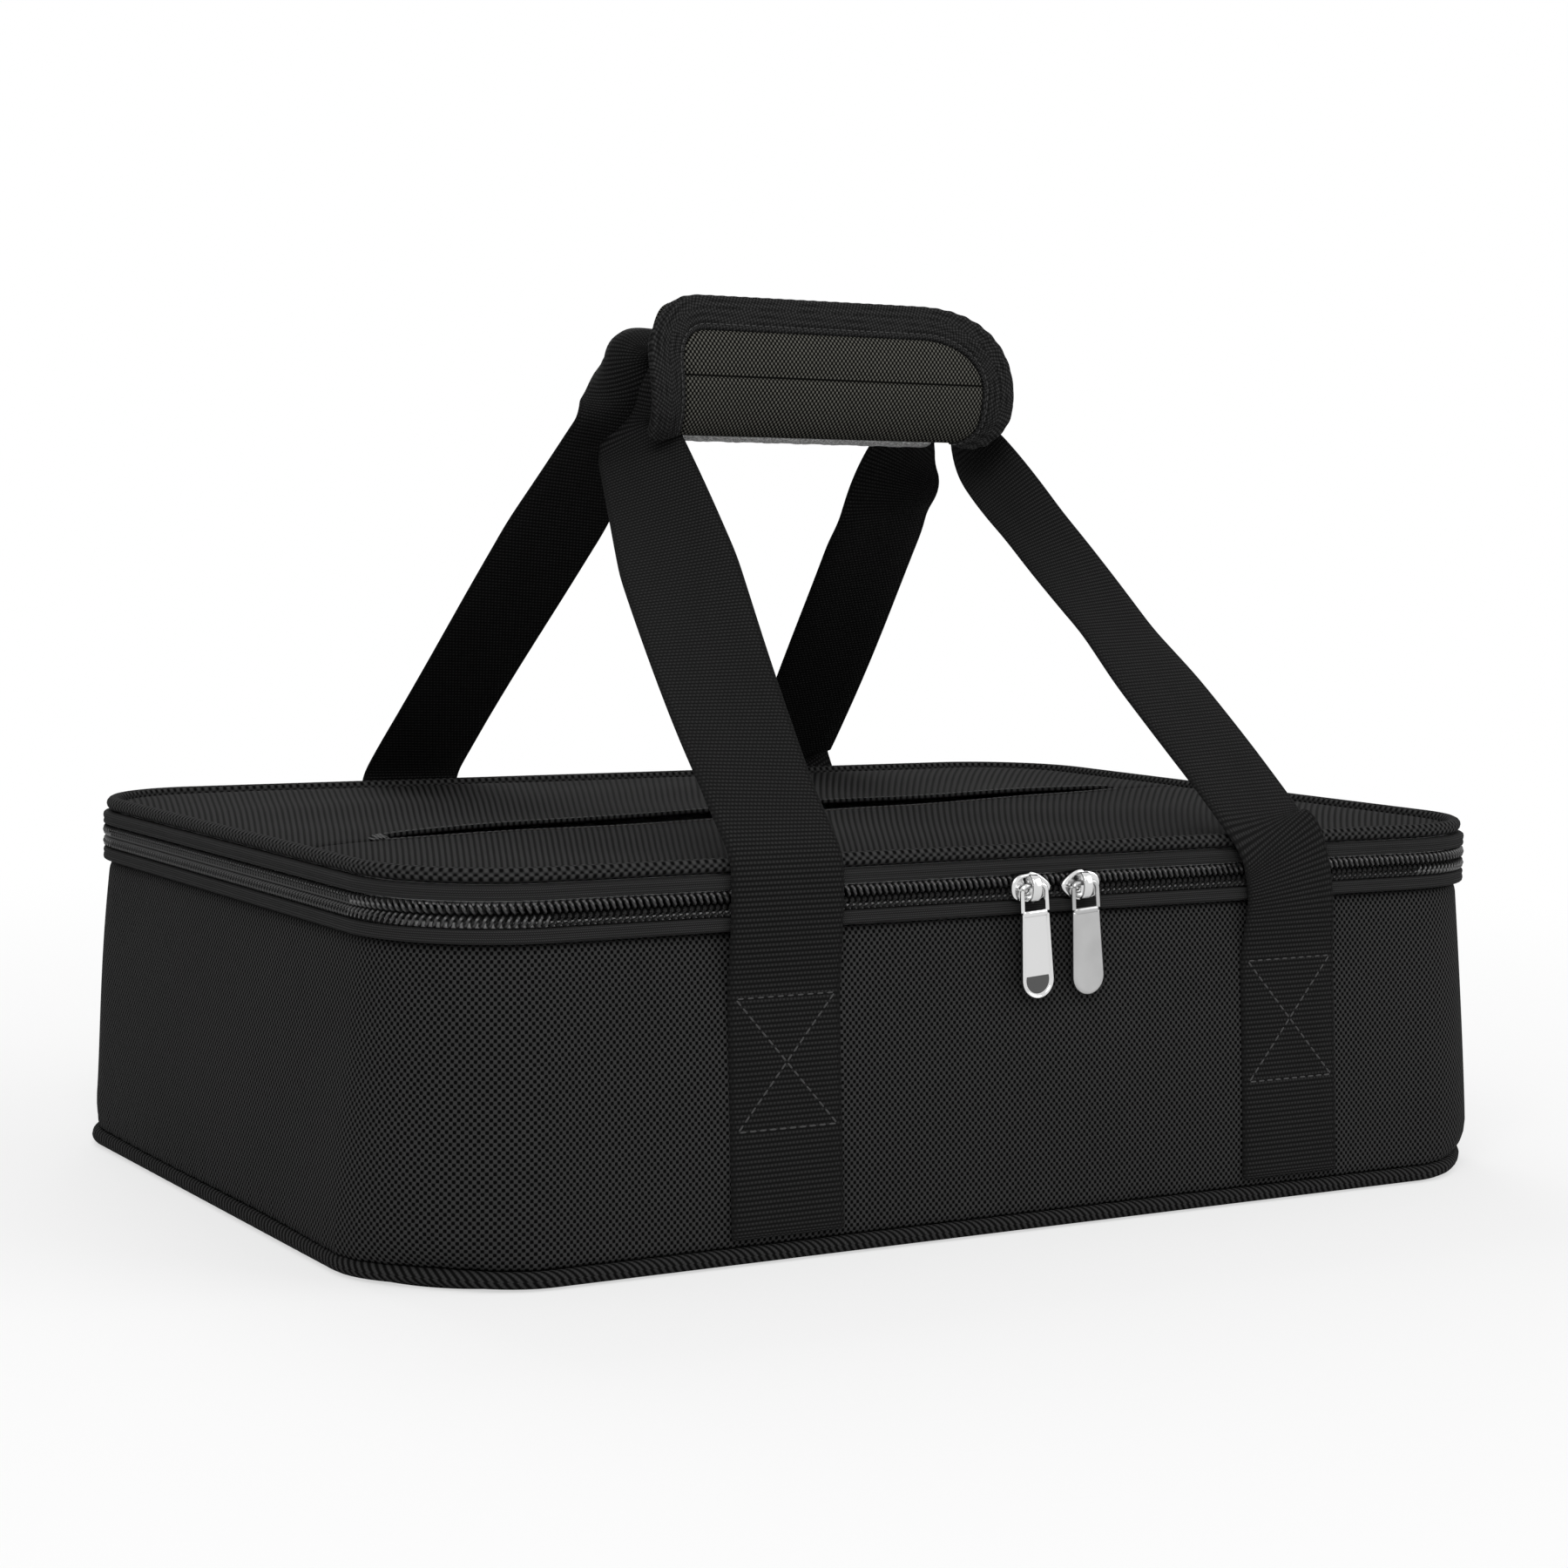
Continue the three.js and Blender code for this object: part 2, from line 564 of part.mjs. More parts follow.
// Outline seen from the front: square below, with large rounded corners above.
function wrapFace(left, right, foot, top, radius) {
  const shape = new THREE.Shape();
  shape.moveTo(-right, foot);
  shape.lineTo(-left, foot);
  shape.lineTo(-left, top - radius);
  shape.absarc(-left - radius, top - radius, radius, 0, Math.PI / 2, false);
  shape.lineTo(-right + radius, top);
  shape.absarc(-right + radius, top - radius, radius, Math.PI / 2, Math.PI, false);
  shape.closePath();
  return shape;
}

const gripCentre = RUN_HEIGHT - GRIP_DROP;
const gripLeft = GRIP_SHIFT - GRIP_LENGTH / 2;
const gripRight = GRIP_SHIFT + GRIP_LENGTH / 2;
const flapOut = SEAM_GAP + FLAP_THICKNESS + FLAP_BINDING_PROUD;
const faceDepth = GRIP_HALF_DEPTH + 2 * flapOut;
const wrapTop = gripCentre + GRIP_HALF_HEIGHT + flapOut;
const wrapFoot = gripCentre - GRIP_HALF_HEIGHT - flapOut;

function facePrism(inset, cornerRadius) {
  const face = wrapFace(
    gripLeft + inset, gripRight - inset, wrapFoot - flapOut, wrapTop - inset, cornerRadius);
  return solid(prism(face, alongY, -faceDepth, faceDepth));
}

// The inner wrap: a foam roll round both straps and its cover, with a mouth behind for the rear strap.
function makeWrap(handle) {
  const mouthFoot = RUN_HEIGHT - WEBBING_THICKNESS / 2 - MOUTH_DROP;
  const mouthTop = RUN_HEIGHT + WEBBING_THICKNESS / 2 + MOUTH_RISE;
  const pocketTop = RUN_HEIGHT + STACK_GAP + WEBBING_THICKNESS * 3 / 2 + SEAM_GAP;
  const pocketFront = -GATHERED_WIDTH / 2 - SEAM_GAP;
  const rollLeft = gripLeft + ROLL_LEFT_INSET;
  const rollRight = gripRight - ROLL_RIGHT_INSET;
  const slot = (top, from) => solid(prism(
    [[from, mouthFoot], [faceDepth, mouthFoot], [faceDepth, top], [from, top]], alongX, gripLeft, gripRight));
  const padGrow = -COVER_THICKNESS - SEAM_GAP;
  const roll = (grow, from, to) => solid(prism(
    wrapCurve(grow, 0, 1 - 1 / WRAP_STEPS, WRAP_STEPS - 1), alongX, from, to));
  const pad = roll(padGrow, rollLeft + PAD_END_INSET, rollRight - PAD_END_INSET)
    .subtract(slot(pocketTop, pocketFront));
  add(handle, 'grip_pad', geometryOf(pad), foam);
  const cover = roll(0, rollLeft, rollRight).subtract(roll(-COVER_THICKNESS, gripLeft, gripRight))
    .subtract(slot(mouthTop, 0));
  add(handle, 'grip_cover', geometryOf(cover), gripCloth);
  const strip = wrapShell(SEAM_GAP, HOOK_STRIP_THICKNESS, HOOK_STRIP_FROM_SHARE, HOOK_STRIP_TO_SHARE,
    HOOK_STRIP_STEPS, rollLeft, rollRight);
  add(handle, 'grip_hook_strip', strip, greyTape);
}

// The front flap: a padded panel over the front of the wrap, bound round three sides.
function makeFlap(flap) {
  const sheet = (thickness) => solid(wrapShell(SEAM_GAP, thickness, FLAP_FROM_SHARE, FLAP_TO_SHARE,
    FLAP_STEPS, gripLeft - SEAM_GAP, gripRight + SEAM_GAP));
  const windowRadius = FLAP_CORNER_RADIUS - FLAP_BINDING_WIDTH;
  const window = facePrism(FLAP_BINDING_WIDTH, windowRadius);
  const around = facePrism(FLAP_BINDING_WIDTH - SEAM_GAP, windowRadius + SEAM_GAP);
  const panel = sheet(FLAP_THICKNESS).intersect(window);
  add(flap, 'grip_flap_panel', geometryOf(panel), gripCloth);
  const border = sheet(FLAP_THICKNESS + FLAP_BINDING_PROUD).intersect(facePrism(0, FLAP_CORNER_RADIUS))
    .subtract(around);
  add(flap, 'grip_flap_binding', geometryOf(border), twill);
}

// Sliders

const sliderBack = -(CASE_WIDTH / 2 + Math.max(COIL_PROUD, TAPE_PROUD) + SEAM_GAP);
const sliderFront = sliderBack - SLIDER_PLATE;
const barY = sliderFront - (BRIDGE_RISE - BRIDGE_WALL) / 2;
const barZ = zipSplit + BRIDGE_HEIGHT / 2 - BRIDGE_WALL - PULL_BAR_HEIGHT;

// A slider's face is a shield with its nose towards the other slider, and an arched bridge for the pull.
function makeSlider(body, name, x, nose) {
  const long = -nose * SLIDER_LENGTH / 2;
  const tall = SLIDER_HEIGHT / 2;
  const shoulder = tall * SLIDER_SHOULDER_SHARE;
  const [tailLong, tailTall] = [long * SLIDER_TAIL_SHARE, tall * SLIDER_TAIL_SHARE];
  const shape = new THREE.Shape();
  shape.moveTo(long, 0);
  shape.bezierCurveTo(long, tall / 2, long / 3, shoulder, 0, tall);
  shape.bezierCurveTo(-tailLong, tall, -long, tailTall, -long, 0);
  shape.bezierCurveTo(-long, -tailTall, -tailLong, -tall, 0, -tall);
  shape.bezierCurveTo(long / 3, -shoulder, long, -tall / 2, long, 0);
  const face = solid(prism(shape, alongY, sliderFront, sliderBack, 4).translate(x, 0, zipSplit));
  const high = BRIDGE_HEIGHT / 2;
  const out = -BRIDGE_RISE;
  const root = SLIDER_PLATE / 2;
  const arch = [
    [root, -high], [out + BRIDGE_WALL, -high], [out, -high + BRIDGE_WALL],
    [out, high - BRIDGE_WALL], [out + BRIDGE_WALL, high], [root, high],
    [root, high - BRIDGE_WALL], [out + BRIDGE_WALL, high - BRIDGE_WALL],
    [out + BRIDGE_WALL, -high + BRIDGE_WALL], [root, -high + BRIDGE_WALL],
  ].map(([y, z]) => [y + sliderFront, z + zipSplit]);
  const bridge = solid(prism(arch, alongX, x - BRIDGE_WIDTH / 2, x + BRIDGE_WIDTH / 2));
  add(body, name, geometryOf(face.add(bridge)), chrome);
}

// A pull hangs from its bar, which runs through the slider's bridge: a window over a tab with a round foot.
function makePull(body, name, x) {
  const topHalf = PULL_TOP_WIDTH / 2;
  const footHalf = PULL_FOOT_WIDTH / 2;
  const top = barZ + PULL_BAR_HEIGHT / 2;
  const foot = top - PULL_LENGTH;
  const soft = PULL_BAR_HEIGHT;
  const shape = new THREE.Shape();
  shape.moveTo(-topHalf, top - soft);
  shape.lineTo(-footHalf, foot + footHalf);
  shape.absarc(0, foot + footHalf, footHalf, Math.PI, 2 * Math.PI, false);
  shape.lineTo(topHalf, top - soft);
  shape.lineTo(topHalf - soft, top);
  shape.lineTo(-topHalf + soft, top);
  const windowTop = top - PULL_BAR_HEIGHT;
  const half = PULL_WINDOW_WIDTH / 2;
  shape.holes.push(new THREE.Path(pathPoints([
    [-half, windowTop - PULL_WINDOW_HEIGHT], [-half, windowTop],
    [half, windowTop], [half, windowTop - PULL_WINDOW_HEIGHT],
  ])));
  const back = barY + PULL_THICKNESS / 2;
  add(body, name, prism(shape, alongY, back - PULL_THICKNESS, back).translate(x, 0, 0), chrome);
}

// Assembly

const base = new THREE.Group();
carrier.add(base);
makeUnderside(base);
makeBaseWalls(base);
makeZipHalf(base, 'lower', lowerTapeFoot, lowerCoilFoot);
makeHingeStrip(base, 'base_hinge_strip', lowerTapeFoot, zipSplit - SEAM_GAP / 2);
for (const [end, face] of [['front', -1], ['rear', 1]]) {
  makeAnchor(base, `${end}_left_strap_anchor`, -1, face);
  makeAnchor(base, `${end}_right_strap_anchor`, 1, face);
}

const lid = new THREE.Group();
carrier.add(lid);
makeLid(lid);

// The front handle is the outer strap. Its two lower stretches are pieces of their own, because they
// bend over the lid's edge when the lid lifts.
const SPLIT_STATION = FOOT_STATIONS + LEG_SPLIT_STEP;
const frontHandle = new THREE.Group();
carrier.add(frontHandle);
const front = handleStations(-1, 1, {
  runEnd: RUN_LEFT_END, lean: FRONT_LEAN_SHARES[0], twist: FRONT_LEFT_TWIST_SHARES, ease: 1,
}, {
  runEnd: FRONT_RUN_RIGHT_END, lean: FRONT_LEAN_SHARES[1], twist: FRONT_RIGHT_TWIST_SHARES,
  ease: SLOW_TWIST_SHARE, riser: true,
});
const last = front.length - 1;
const leftLeg = front.slice(0, SPLIT_STATION + 1);
leftLeg[SPLIT_STATION] = shifted(leftLeg[SPLIT_STATION], -SEAM_GAP / 2);
const rightLeg = front.slice(last - SPLIT_STATION);
rightLeg[0] = shifted(rightLeg[0], SEAM_GAP / 2);
const run = front.slice(SPLIT_STATION, last - SPLIT_STATION + 1);
run[0] = shifted(run[0], SEAM_GAP / 2);
run[run.length - 1] = shifted(run[run.length - 1], -SEAM_GAP / 2);
add(frontHandle, 'front_left_strap_leg', ribbon(leftLeg), webbingCloth);
add(frontHandle, 'front_right_strap_leg', ribbon(rightLeg), webbingCloth);
add(frontHandle, 'front_handle_webbing', ribbon(run), webbingCloth);
makeWrap(frontHandle);

const gripFlap = new THREE.Group();
frontHandle.add(gripFlap);
makeFlap(gripFlap);

const rearHandle = new THREE.Group();
carrier.add(rearHandle);
add(rearHandle, 'rear_handle_webbing', ribbon(handleStations(1, 0, {
  runEnd: RUN_LEFT_END, lean: REAR_LEAN_SHARES[0], twist: REAR_LEFT_TWIST_SHARES, ease: 1,
}, {
  runEnd: REAR_RUN_RIGHT_END, lean: REAR_LEAN_SHARES[1], twist: REAR_RIGHT_TWIST_SHARES, ease: 1,
})), webbingCloth);

for (const [side, x, nose] of [['left', LEFT_SLIDER_X, 1], ['right', RIGHT_SLIDER_X, -1]]) {
  const slider = new THREE.Group();
  carrier.add(slider);
  makeSlider(slider, `slider_${side}`, x, nose);
  makePull(slider, `pull_${side}`, x);
}

export default carrier;
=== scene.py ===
import math
from functools import partialmethod

import bmesh
import bpy
import numpy as np
from mathutils import Matrix, Vector


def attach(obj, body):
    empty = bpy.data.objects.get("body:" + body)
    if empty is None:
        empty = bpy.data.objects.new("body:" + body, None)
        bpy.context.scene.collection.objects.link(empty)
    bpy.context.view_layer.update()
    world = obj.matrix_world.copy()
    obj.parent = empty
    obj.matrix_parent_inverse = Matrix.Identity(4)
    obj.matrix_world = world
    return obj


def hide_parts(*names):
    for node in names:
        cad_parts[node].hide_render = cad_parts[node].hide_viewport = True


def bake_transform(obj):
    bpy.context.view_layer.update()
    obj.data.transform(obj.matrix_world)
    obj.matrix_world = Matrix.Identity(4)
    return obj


# Black insulated casserole carrier. Lengths are in millimetres until a mesh is made from them.

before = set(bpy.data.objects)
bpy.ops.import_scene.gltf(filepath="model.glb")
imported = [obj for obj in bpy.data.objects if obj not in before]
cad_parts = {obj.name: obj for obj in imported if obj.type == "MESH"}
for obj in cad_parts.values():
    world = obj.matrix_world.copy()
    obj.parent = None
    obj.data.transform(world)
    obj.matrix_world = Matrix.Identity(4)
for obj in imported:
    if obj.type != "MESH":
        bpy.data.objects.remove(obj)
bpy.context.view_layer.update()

MM = 0.001
TURN = 2 * math.pi

# Case
CASE_LENGTH, CASE_WIDTH, CORNER_RADIUS = 389.0, 278.0, 40.0
FLARE, WALL_FOOT, WALL_TOP = 5.9, 5.4, 94.0
CORNER_TUCK, CORNER_LIFT, TUCK_HEIGHT = 3.4, 0.5, 9.0
CLOTH = 1.4
HINGE_HALF, HINGE_FOOT, HINGE_TOP = 125.0, 94.3, 110.4
PIPING_OUT, PIPING_UP, PIPING_RADIUS = -1.0, 112.9, 2.2
FOOT_CORD_UP, FOOT_CORD_RADIUS = 2.7, 2.4
LID_EDGE, LID_TOP, LID_CLOTH = -2.6, 113.2, 1.2
LID_RADIUS = CORNER_RADIUS + LID_EDGE
SLIT_LEFT, SLIT_RIGHT, SLIT_HALF = (-165.0, -44.0), (152.0, 18.0), 1.85
LINING_FACE, LINING_TOP, LINING_FLOOR = -8.0, 99.6, 12.0

# Zip
ZIP_SPLIT, TAPE_HEIGHT = 102.35, 4.2
LOWER_TAPE, LOWER_COIL, UPPER_COIL, UPPER_TAPE = 94.3, 100.5, 104.2, 106.2
LEFT_SLIDER, RIGHT_SLIDER = 1.5, 20.0

# Webbing
STRAP_WIDTH, STRAP_THICKNESS, GATHERED_WIDTH = 37.0, 1.6, 18.0
STRAP_FOOT, STITCH_FOOT, STITCH_TOP = 6.0, 38.0, 77.0
OFF_WALL, OFF_ZIP, ZIP_CROSSED = 0.3, 3.0, 105.5
LEAN, LEG_SHIFT, LEG_FREE = math.radians(46), 9.0, 112.0
RUN_HEIGHT, EDGE_CURL, SWAY = 263.0, 10.0, 0.4

# Grip
GRIP_MIDDLE, GRIP_DEPTH, GRIP_HEIGHT = RUN_HEIGHT - 5.2, 14.0, 21.2
GRIP_GIRTH = 110.0
FLAP_LEFT, FLAP_RIGHT = -60.6, 79.0
ROLL_LEFT, ROLL_RIGHT = -44.0, 55.0
BINDING = 12.0


# Numbers that vary over a surface

class Shade:
    """A socket that takes part in arithmetic: each operation adds its Math node."""

    def __init__(self, finish, socket):
        self.finish, self.socket = finish, socket

    def maths(self, operation, *others):
        inputs = dict(enumerate((self, *others)))
        node = self.finish.node("ShaderNodeMath", {"operation": operation}, inputs)
        return Shade(self.finish, node.outputs[0])

    __add__ = __radd__ = partialmethod(maths, "ADD")
    __mul__ = __rmul__ = partialmethod(maths, "MULTIPLY")
    __sub__ = partialmethod(maths, "SUBTRACT")
    __rsub__ = partialmethod(maths, "MULTIPLY_ADD", -1.0)
    __truediv__ = partialmethod(maths, "DIVIDE")
    __lt__ = partialmethod(maths, "LESS_THAN")

    def ridge(self, pitch, shift=0.0):
        """A wave between -1 and 1 that repeats every pitch: cos(2 pi (x / pitch + shift))."""
        return (self * (TURN / pitch) + shift * TURN).maths("COSINE")

    def wave(self, pitch, shift=0.0):
        """The same wave between 0 and 1."""
        return self.ridge(pitch, shift) * 0.5 + 0.5

    def clip(self):
        node = self.finish.node("ShaderNodeClamp", {}, {0: self})
        return Shade(self.finish, node.outputs[0])

    def step(self, low, high):
        """A smooth rise from 0 at low to 1 at high."""
        node = self.finish.node(
            "ShaderNodeMapRange", {"interpolation_type": "SMOOTHSTEP"},
            {"Value": self, "From Min": low, "From Max": high})
        return Shade(self.finish, node.outputs[0])


class Nodes:
    """A node tree: every node comes from one method, with its settings, then its values and links."""

    def __init__(self, tree):
        self.tree = tree

    def node(self, kind, settings, inputs):
        node = self.tree.nodes.new(kind)
        for key, value in settings.items():
            setattr(node, key, value)
        for key, value in inputs.items():
            self.feed(node.inputs[key], value)
        return node

    def feed(self, socket, value):
        if isinstance(value, Shade):
            self.tree.links.new(value.socket, socket)
        else:
            socket.default_value = value

    def seen(self):
        """1 for the rays of the camera, of gloss and of clear matter, and 0 for the rest."""
        path = self.node("ShaderNodeLightPath", {}, {})
        camera, glossy, clear = (
            Shade(self, path.outputs[f"Is {kind} Ray"]) for kind in ("Camera", "Glossy", "Transmission"))
        return camera.maths("MAXIMUM", glossy).maths("MAXIMUM", clear)

    def show(self, output, factor, low, high):
        """Mixes two shaders by a factor for the node named output."""
        ends = {1: Shade(self, low.outputs[0]), 2: Shade(self, high.outputs[0])}
        mixed = self.node("ShaderNodeMixShader", {}, {0: factor, **ends})
        self.feed(self.tree.nodes[output].inputs["Surface"], Shade(self, mixed.outputs[0]))


class Finish(Nodes):
    """A material in the making, with its shader and the coordinates that its pattern follows."""

    def __init__(self, name, **plain):
        self.material = bpy.data.materials.new(name)
        self.material.use_nodes = True
        super().__init__(self.material.node_tree)
        self.shader = self.tree.nodes["Principled BSDF"]
        for socket, value in plain.items():
            self.shader.inputs[socket.replace("_", " ")].default_value = value

    def place(self, source):
        """The three coordinates of a point, in millimetres on a UV map and in metres on the object."""
        coordinate = self.node("ShaderNodeTexCoord", {}, {})
        split = self.node("ShaderNodeSeparateXYZ", {}, {0: Shade(self, coordinate.outputs[source])})
        return [Shade(self, output) for output in split.outputs]

    def noise(self, x, y, z, detail):
        joined = self.node("ShaderNodeCombineXYZ", {}, {0: x, 1: y, 2: z})
        inputs = {"Vector": Shade(self, joined.outputs[0]), "Scale": 1.0, "Detail": detail}
        return Shade(self, self.node("ShaderNodeTexNoise", {}, inputs).outputs["Fac"])

    def blend(self, factor, low, high):
        """A colour between two, by a factor."""
        node = self.node("ShaderNodeMix", {"data_type": "RGBA"}, {0: factor, 6: low, 7: high})
        return Shade(self, node.outputs[2])

    def colour(self, value):
        self.feed(self.shader.inputs["Base Color"], value)

    def roughness(self, value):
        self.feed(self.shader.inputs["Roughness"], value)

    def bump(self, height, depth):
        """Relief with its height from 0 to 1, as deep as depth in millimetres."""
        node = self.node("ShaderNodeBump", {}, {"Strength": 1.0, "Distance": depth * MM, "Height": height})
        self.tree.links.new(node.outputs[0], self.shader.inputs["Normal"])

    def woven(self, level, greys, relief, depth, warm=0.0):
        """Cloth that goes from the dark grey to the light one with level, with its relief."""
        dark, light = (grey(each, warm) for each in greys)
        self.colour(self.blend(level.clip(), dark, light))
        self.bump(relief, depth)
        return self.material


def grey(level, warm=0.0):
    return (level * (1 + warm), level * (1 + warm * 0.8), level * (1 - warm), 1.0)


def cloth_finish(name, source="UV", **plain):
    """Dull matter, and the three coordinates that its weave follows."""
    finish = Finish(name, **{"Roughness": 0.92, "Specular_IOR_Level": 0.02, **plain})
    return finish, *finish.place(source)


def oxford_weave(name, along_cell, up_cell, dots_from, greys, warm=0.0, seam=None):
    """Plain coarse weave: staggered dark dots where the threads dive, between light threads of uneven
    thickness; the lower dots_from, the larger the dots. A seam is a thin line of painted shade across the
    map."""
    slub, depth = 0.3, 0.16
    finish, u, v, _ = cloth_finish(name)
    dots = u.ridge(along_cell) * v.ridge(2 * up_cell)
    threads = finish.noise(u * 0.09, v * 1.1, 0.0, 1.0) + finish.noise(u * 0.9, v * 0.11, 7.0, 1.0)
    mottle = finish.noise(u * 0.02, v * 0.02, 3.0, 3.0)
    level = (1.0 - dots.step(dots_from, dots_from + 0.8)) * (threads * slub + (1 - slub))
    level = level * (0.86 + mottle * 0.28)
    # Painted shade: a thin dark line at the seam, where its groove would be shaded.
    if seam is not None:
        level = level * (v - seam).maths("ABSOLUTE").step(0.15, 0.5)
    finish.roughness(0.84 + level * 0.1)
    return finish.woven(level, greys, 1.0 - dots * 0.5, depth, warm)


def grip_weave(name, seam=None):
    return oxford_weave(name, 1.51, 0.875, -0.6, (0.003, 0.098), warm=0.07, seam=seam)


def rib_weave(name, rib, bead, greys):
    """Ribs that run up the map with narrow dark furrows between them, faintly beaded along their length."""
    finish, u, v, _ = cloth_finish(name)
    beads = v.ridge(bead) * u.ridge(2 * rib, 0.25)
    broad, streaks = finish.noise(u * 0.06, v * 0.02, 1.0, 3.0), finish.noise(u * 0.5, v * 0.05, 5.0, 2.0)
    relief = u.wave(rib, 0.5) * (0.86 + beads * 0.14)
    level = relief.step(0.02, 0.7) * (0.7 + (broad + streaks) * 0.3)
    finish.roughness(0.86 + level * 0.08)
    return finish.woven(level, greys, relief, 0.3)


def bead_weave(name, along, across, greys):
    """Beads in staggered rows, as cord wrapped in coarse cloth shows them."""
    finish, u, v, _ = cloth_finish(name)
    beads = u.ridge(along) * v.ridge(2 * across) * 0.5 + 0.5
    return finish.woven(beads.step(0.1, 0.9), greys, beads, 0.35)


def slant_weave(name, pitch, lean, greys):
    """Slanting threads over cord: u plus lean times v, repeated every pitch."""
    finish, u, v, _ = cloth_finish(name)
    slant = (u + v * lean).wave(pitch)
    fine = (u - v * lean).wave(pitch * 0.5)
    return finish.woven(slant.step(0.1, 0.9) * (0.75 + fine * 0.25), greys, slant, 0.3)


def webbing_weave(name, rib, bead, greys):
    """Cross ribs of beads, every other rib set half a bead on, with a smooth selvage at both edges."""
    finish, u, v, _ = cloth_finish(name, Specular_IOR_Level=0.05)
    edge = v.maths("ABSOLUTE").step(STRAP_WIDTH / 2 - 1.7, STRAP_WIDTH / 2 - 1.3)
    wear = finish.noise(u * 0.03, v * 0.12, 2.0, 3.0)
    relief = u.wave(rib) * (0.62 + v.ridge(bead) * u.ridge(2 * rib) * 0.38)
    level = relief.step(0.05, 0.75) * (1.0 - edge * 0.5) * (0.7 + wear * 0.6)
    finish.roughness(0.8 + level * 0.12)
    return finish.woven(level, greys, relief * (1.0 - edge) + edge * 0.5, 0.3)


def tape_weave(name, greys):
    """Fine close weave of zip tape: small slanting stitches."""
    finish, u, v, _ = cloth_finish(name, Roughness=0.8)
    knit = (u + v * 0.7).wave(0.62) * v.wave(0.7)
    mottle = finish.noise(u * 0.05, v * 0.3, 4.0, 3.0)
    return finish.woven(knit * (0.75 + mottle * 0.5), greys, knit, 0.08)


def herringbone(name, pitch, row, greys):
    """Twill whose slant turns back at each row: u plus the distance from the row's edge, with painted shade
    in soft ridge lines that run along the tape, in patches."""
    finish, u, v, _ = cloth_finish(name)
    fold = (v / row).maths("PINGPONG", 1.0) * row
    slant = (u + fold * 0.55).wave(pitch)
    thread = (fold - u * 0.35).wave(0.95)
    patch = finish.noise(u * 0.12, v * 0.25, 2.0, 3.0)
    # Painted shade: bands along the tape, in patches, darken the colour as the shading of soft ridges
    # would.
    painted_ridge_shade = v.wave(2.1, 0.2) * patch.step(0.35, 0.6)
    level = (0.25 + slant * 0.75) * (0.4 + thread * 0.6) * (0.45 + patch * 0.7) * (1.0 - painted_ridge_shade * 0.6)
    return finish.woven(level, greys, slant * thread, 0.2)


def plain_finish(name, level, roughness, grain, **plain):
    """Smooth matter with a faint mottle: colour and gloss vary by a noise of the given grain."""
    finish = Finish(name, **plain)
    x, y, z = finish.place("Object")
    mottle = finish.noise(x * grain, y * grain, z * grain, 3.0)
    finish.colour(finish.blend(mottle, grey(level * 0.8), grey(level * 1.2)))
    finish.roughness(roughness - 0.06 + mottle * 0.12)
    return finish


def crinkled_foil(name):
    """Crinkled silver lining: creases where a fine noise passes its middle."""
    finish = Finish(name, Metallic=0.75)
    x, y, z = finish.place("Object")
    crease = (finish.noise(x * 60, y * 60, z * 60, 4.0) - 0.5).maths("ABSOLUTE") * 3.0
    finish.roughness(0.34 + crease * 0.2)
    return finish.woven(crease, (0.62, 0.8), crease.clip(), 0.5)


def hook_cloth(name, level):
    """Hook tape: a dense fuzz of tiny light loops over darker ground."""
    finish, x, y, z = cloth_finish(name, "Object")
    fuzz = finish.noise(x * 1400, y * 1400, z * 1400, 2.0).step(0.35, 0.65)
    return finish.woven(fuzz, (level * 0.55, level * 1.3), fuzz, 0.4)


def chrome_with_painted_reflection(x, low):
    """Chrome with a painted reflection of dark cloth: its colour is dark in the half round at the foot of
    its sunk face, about the point x, low.
    """
    finish = plain_finish("chrome_with_painted_reflection", 0.68, 0.12, 80.0, Metallic=1.0)
    u, v, _ = finish.place("UV")
    across, up = u - x, v - low
    # Painted reflection: the half round at the foot of the sunk face is painted dark, in place of mirrored
    # dark cloth.
    dark = ((across * across + up * up).maths("SQRT") < 4.1) * (up < 1.2)
    finish.colour(finish.blend(dark, grey(0.7), grey(0.1)))
    return finish.material


OXFORD = oxford_weave("oxford_cloth", 2.0, 1.12, -0.35, (0.0015, 0.036))
RIBBED = rib_weave("ribbed_cloth", 1.87, 1.6, (0.0015, 0.026))
LID_CORD = bead_weave("beaded_cord", 2.7, 1.8, (0.003, 0.042))
FOOT_CORD = slant_weave("slanted_cord", 2.3, 0.8, (0.004, 0.034))
TAPE = tape_weave("zip_tape_cloth", (0.011, 0.05))
WEBBING = webbing_weave("ribbed_webbing", 1.46, 1.21, (0.0045, 0.024))
TWILL = herringbone("herringbone_tape", 1.2, 6.0, (0.002, 0.06))
GRIP_CLOTH = grip_weave("grip_cloth")
NYLON = plain_finish("coil_nylon", 0.016, 0.34, 300.0, Specular_IOR_Level=0.45).material
THREAD = plain_finish("sewing_thread", 0.045, 0.7, 900.0, Specular_IOR_Level=0.2).material
HOOK_CLOTH = hook_cloth("hook_tape_fuzz", 0.7)
FOAM = plain_finish("closed_foam", 0.7, 0.9, 400.0).material
DARK_FOAM = plain_finish("dark_foam", 0.02, 0.95, 400.0, Specular_IOR_Level=0.05).material
BOARD = plain_finish("floor_board", 0.05, 0.6, 120.0).material
CHROME = plain_finish("polished_chrome", 0.68, 0.12, 80.0, Metallic=1.0).material
SATIN = plain_finish("satin_chrome", 0.46, 0.3, 80.0, Metallic=1.0).material
FOIL = crinkled_foil("silver_lining")


# Surfaces

def grid_faces(rows, columns):
    """The four corners of every cell of a grid of points numbered row by row."""
    corner = (np.arange(rows - 1)[:, None] * columns + np.arange(columns - 1)).reshape(-1)
    return np.stack([corner, corner + 1, corner + columns + 1, corner + columns], -1)


def read(elements, key, width, kind=float):
    """What a mesh's points, corners or faces say under a key, one row for each."""
    values = np.empty(len(elements) * width, kind)
    elements.foreach_get(key, values)
    return values.reshape(-1, width)


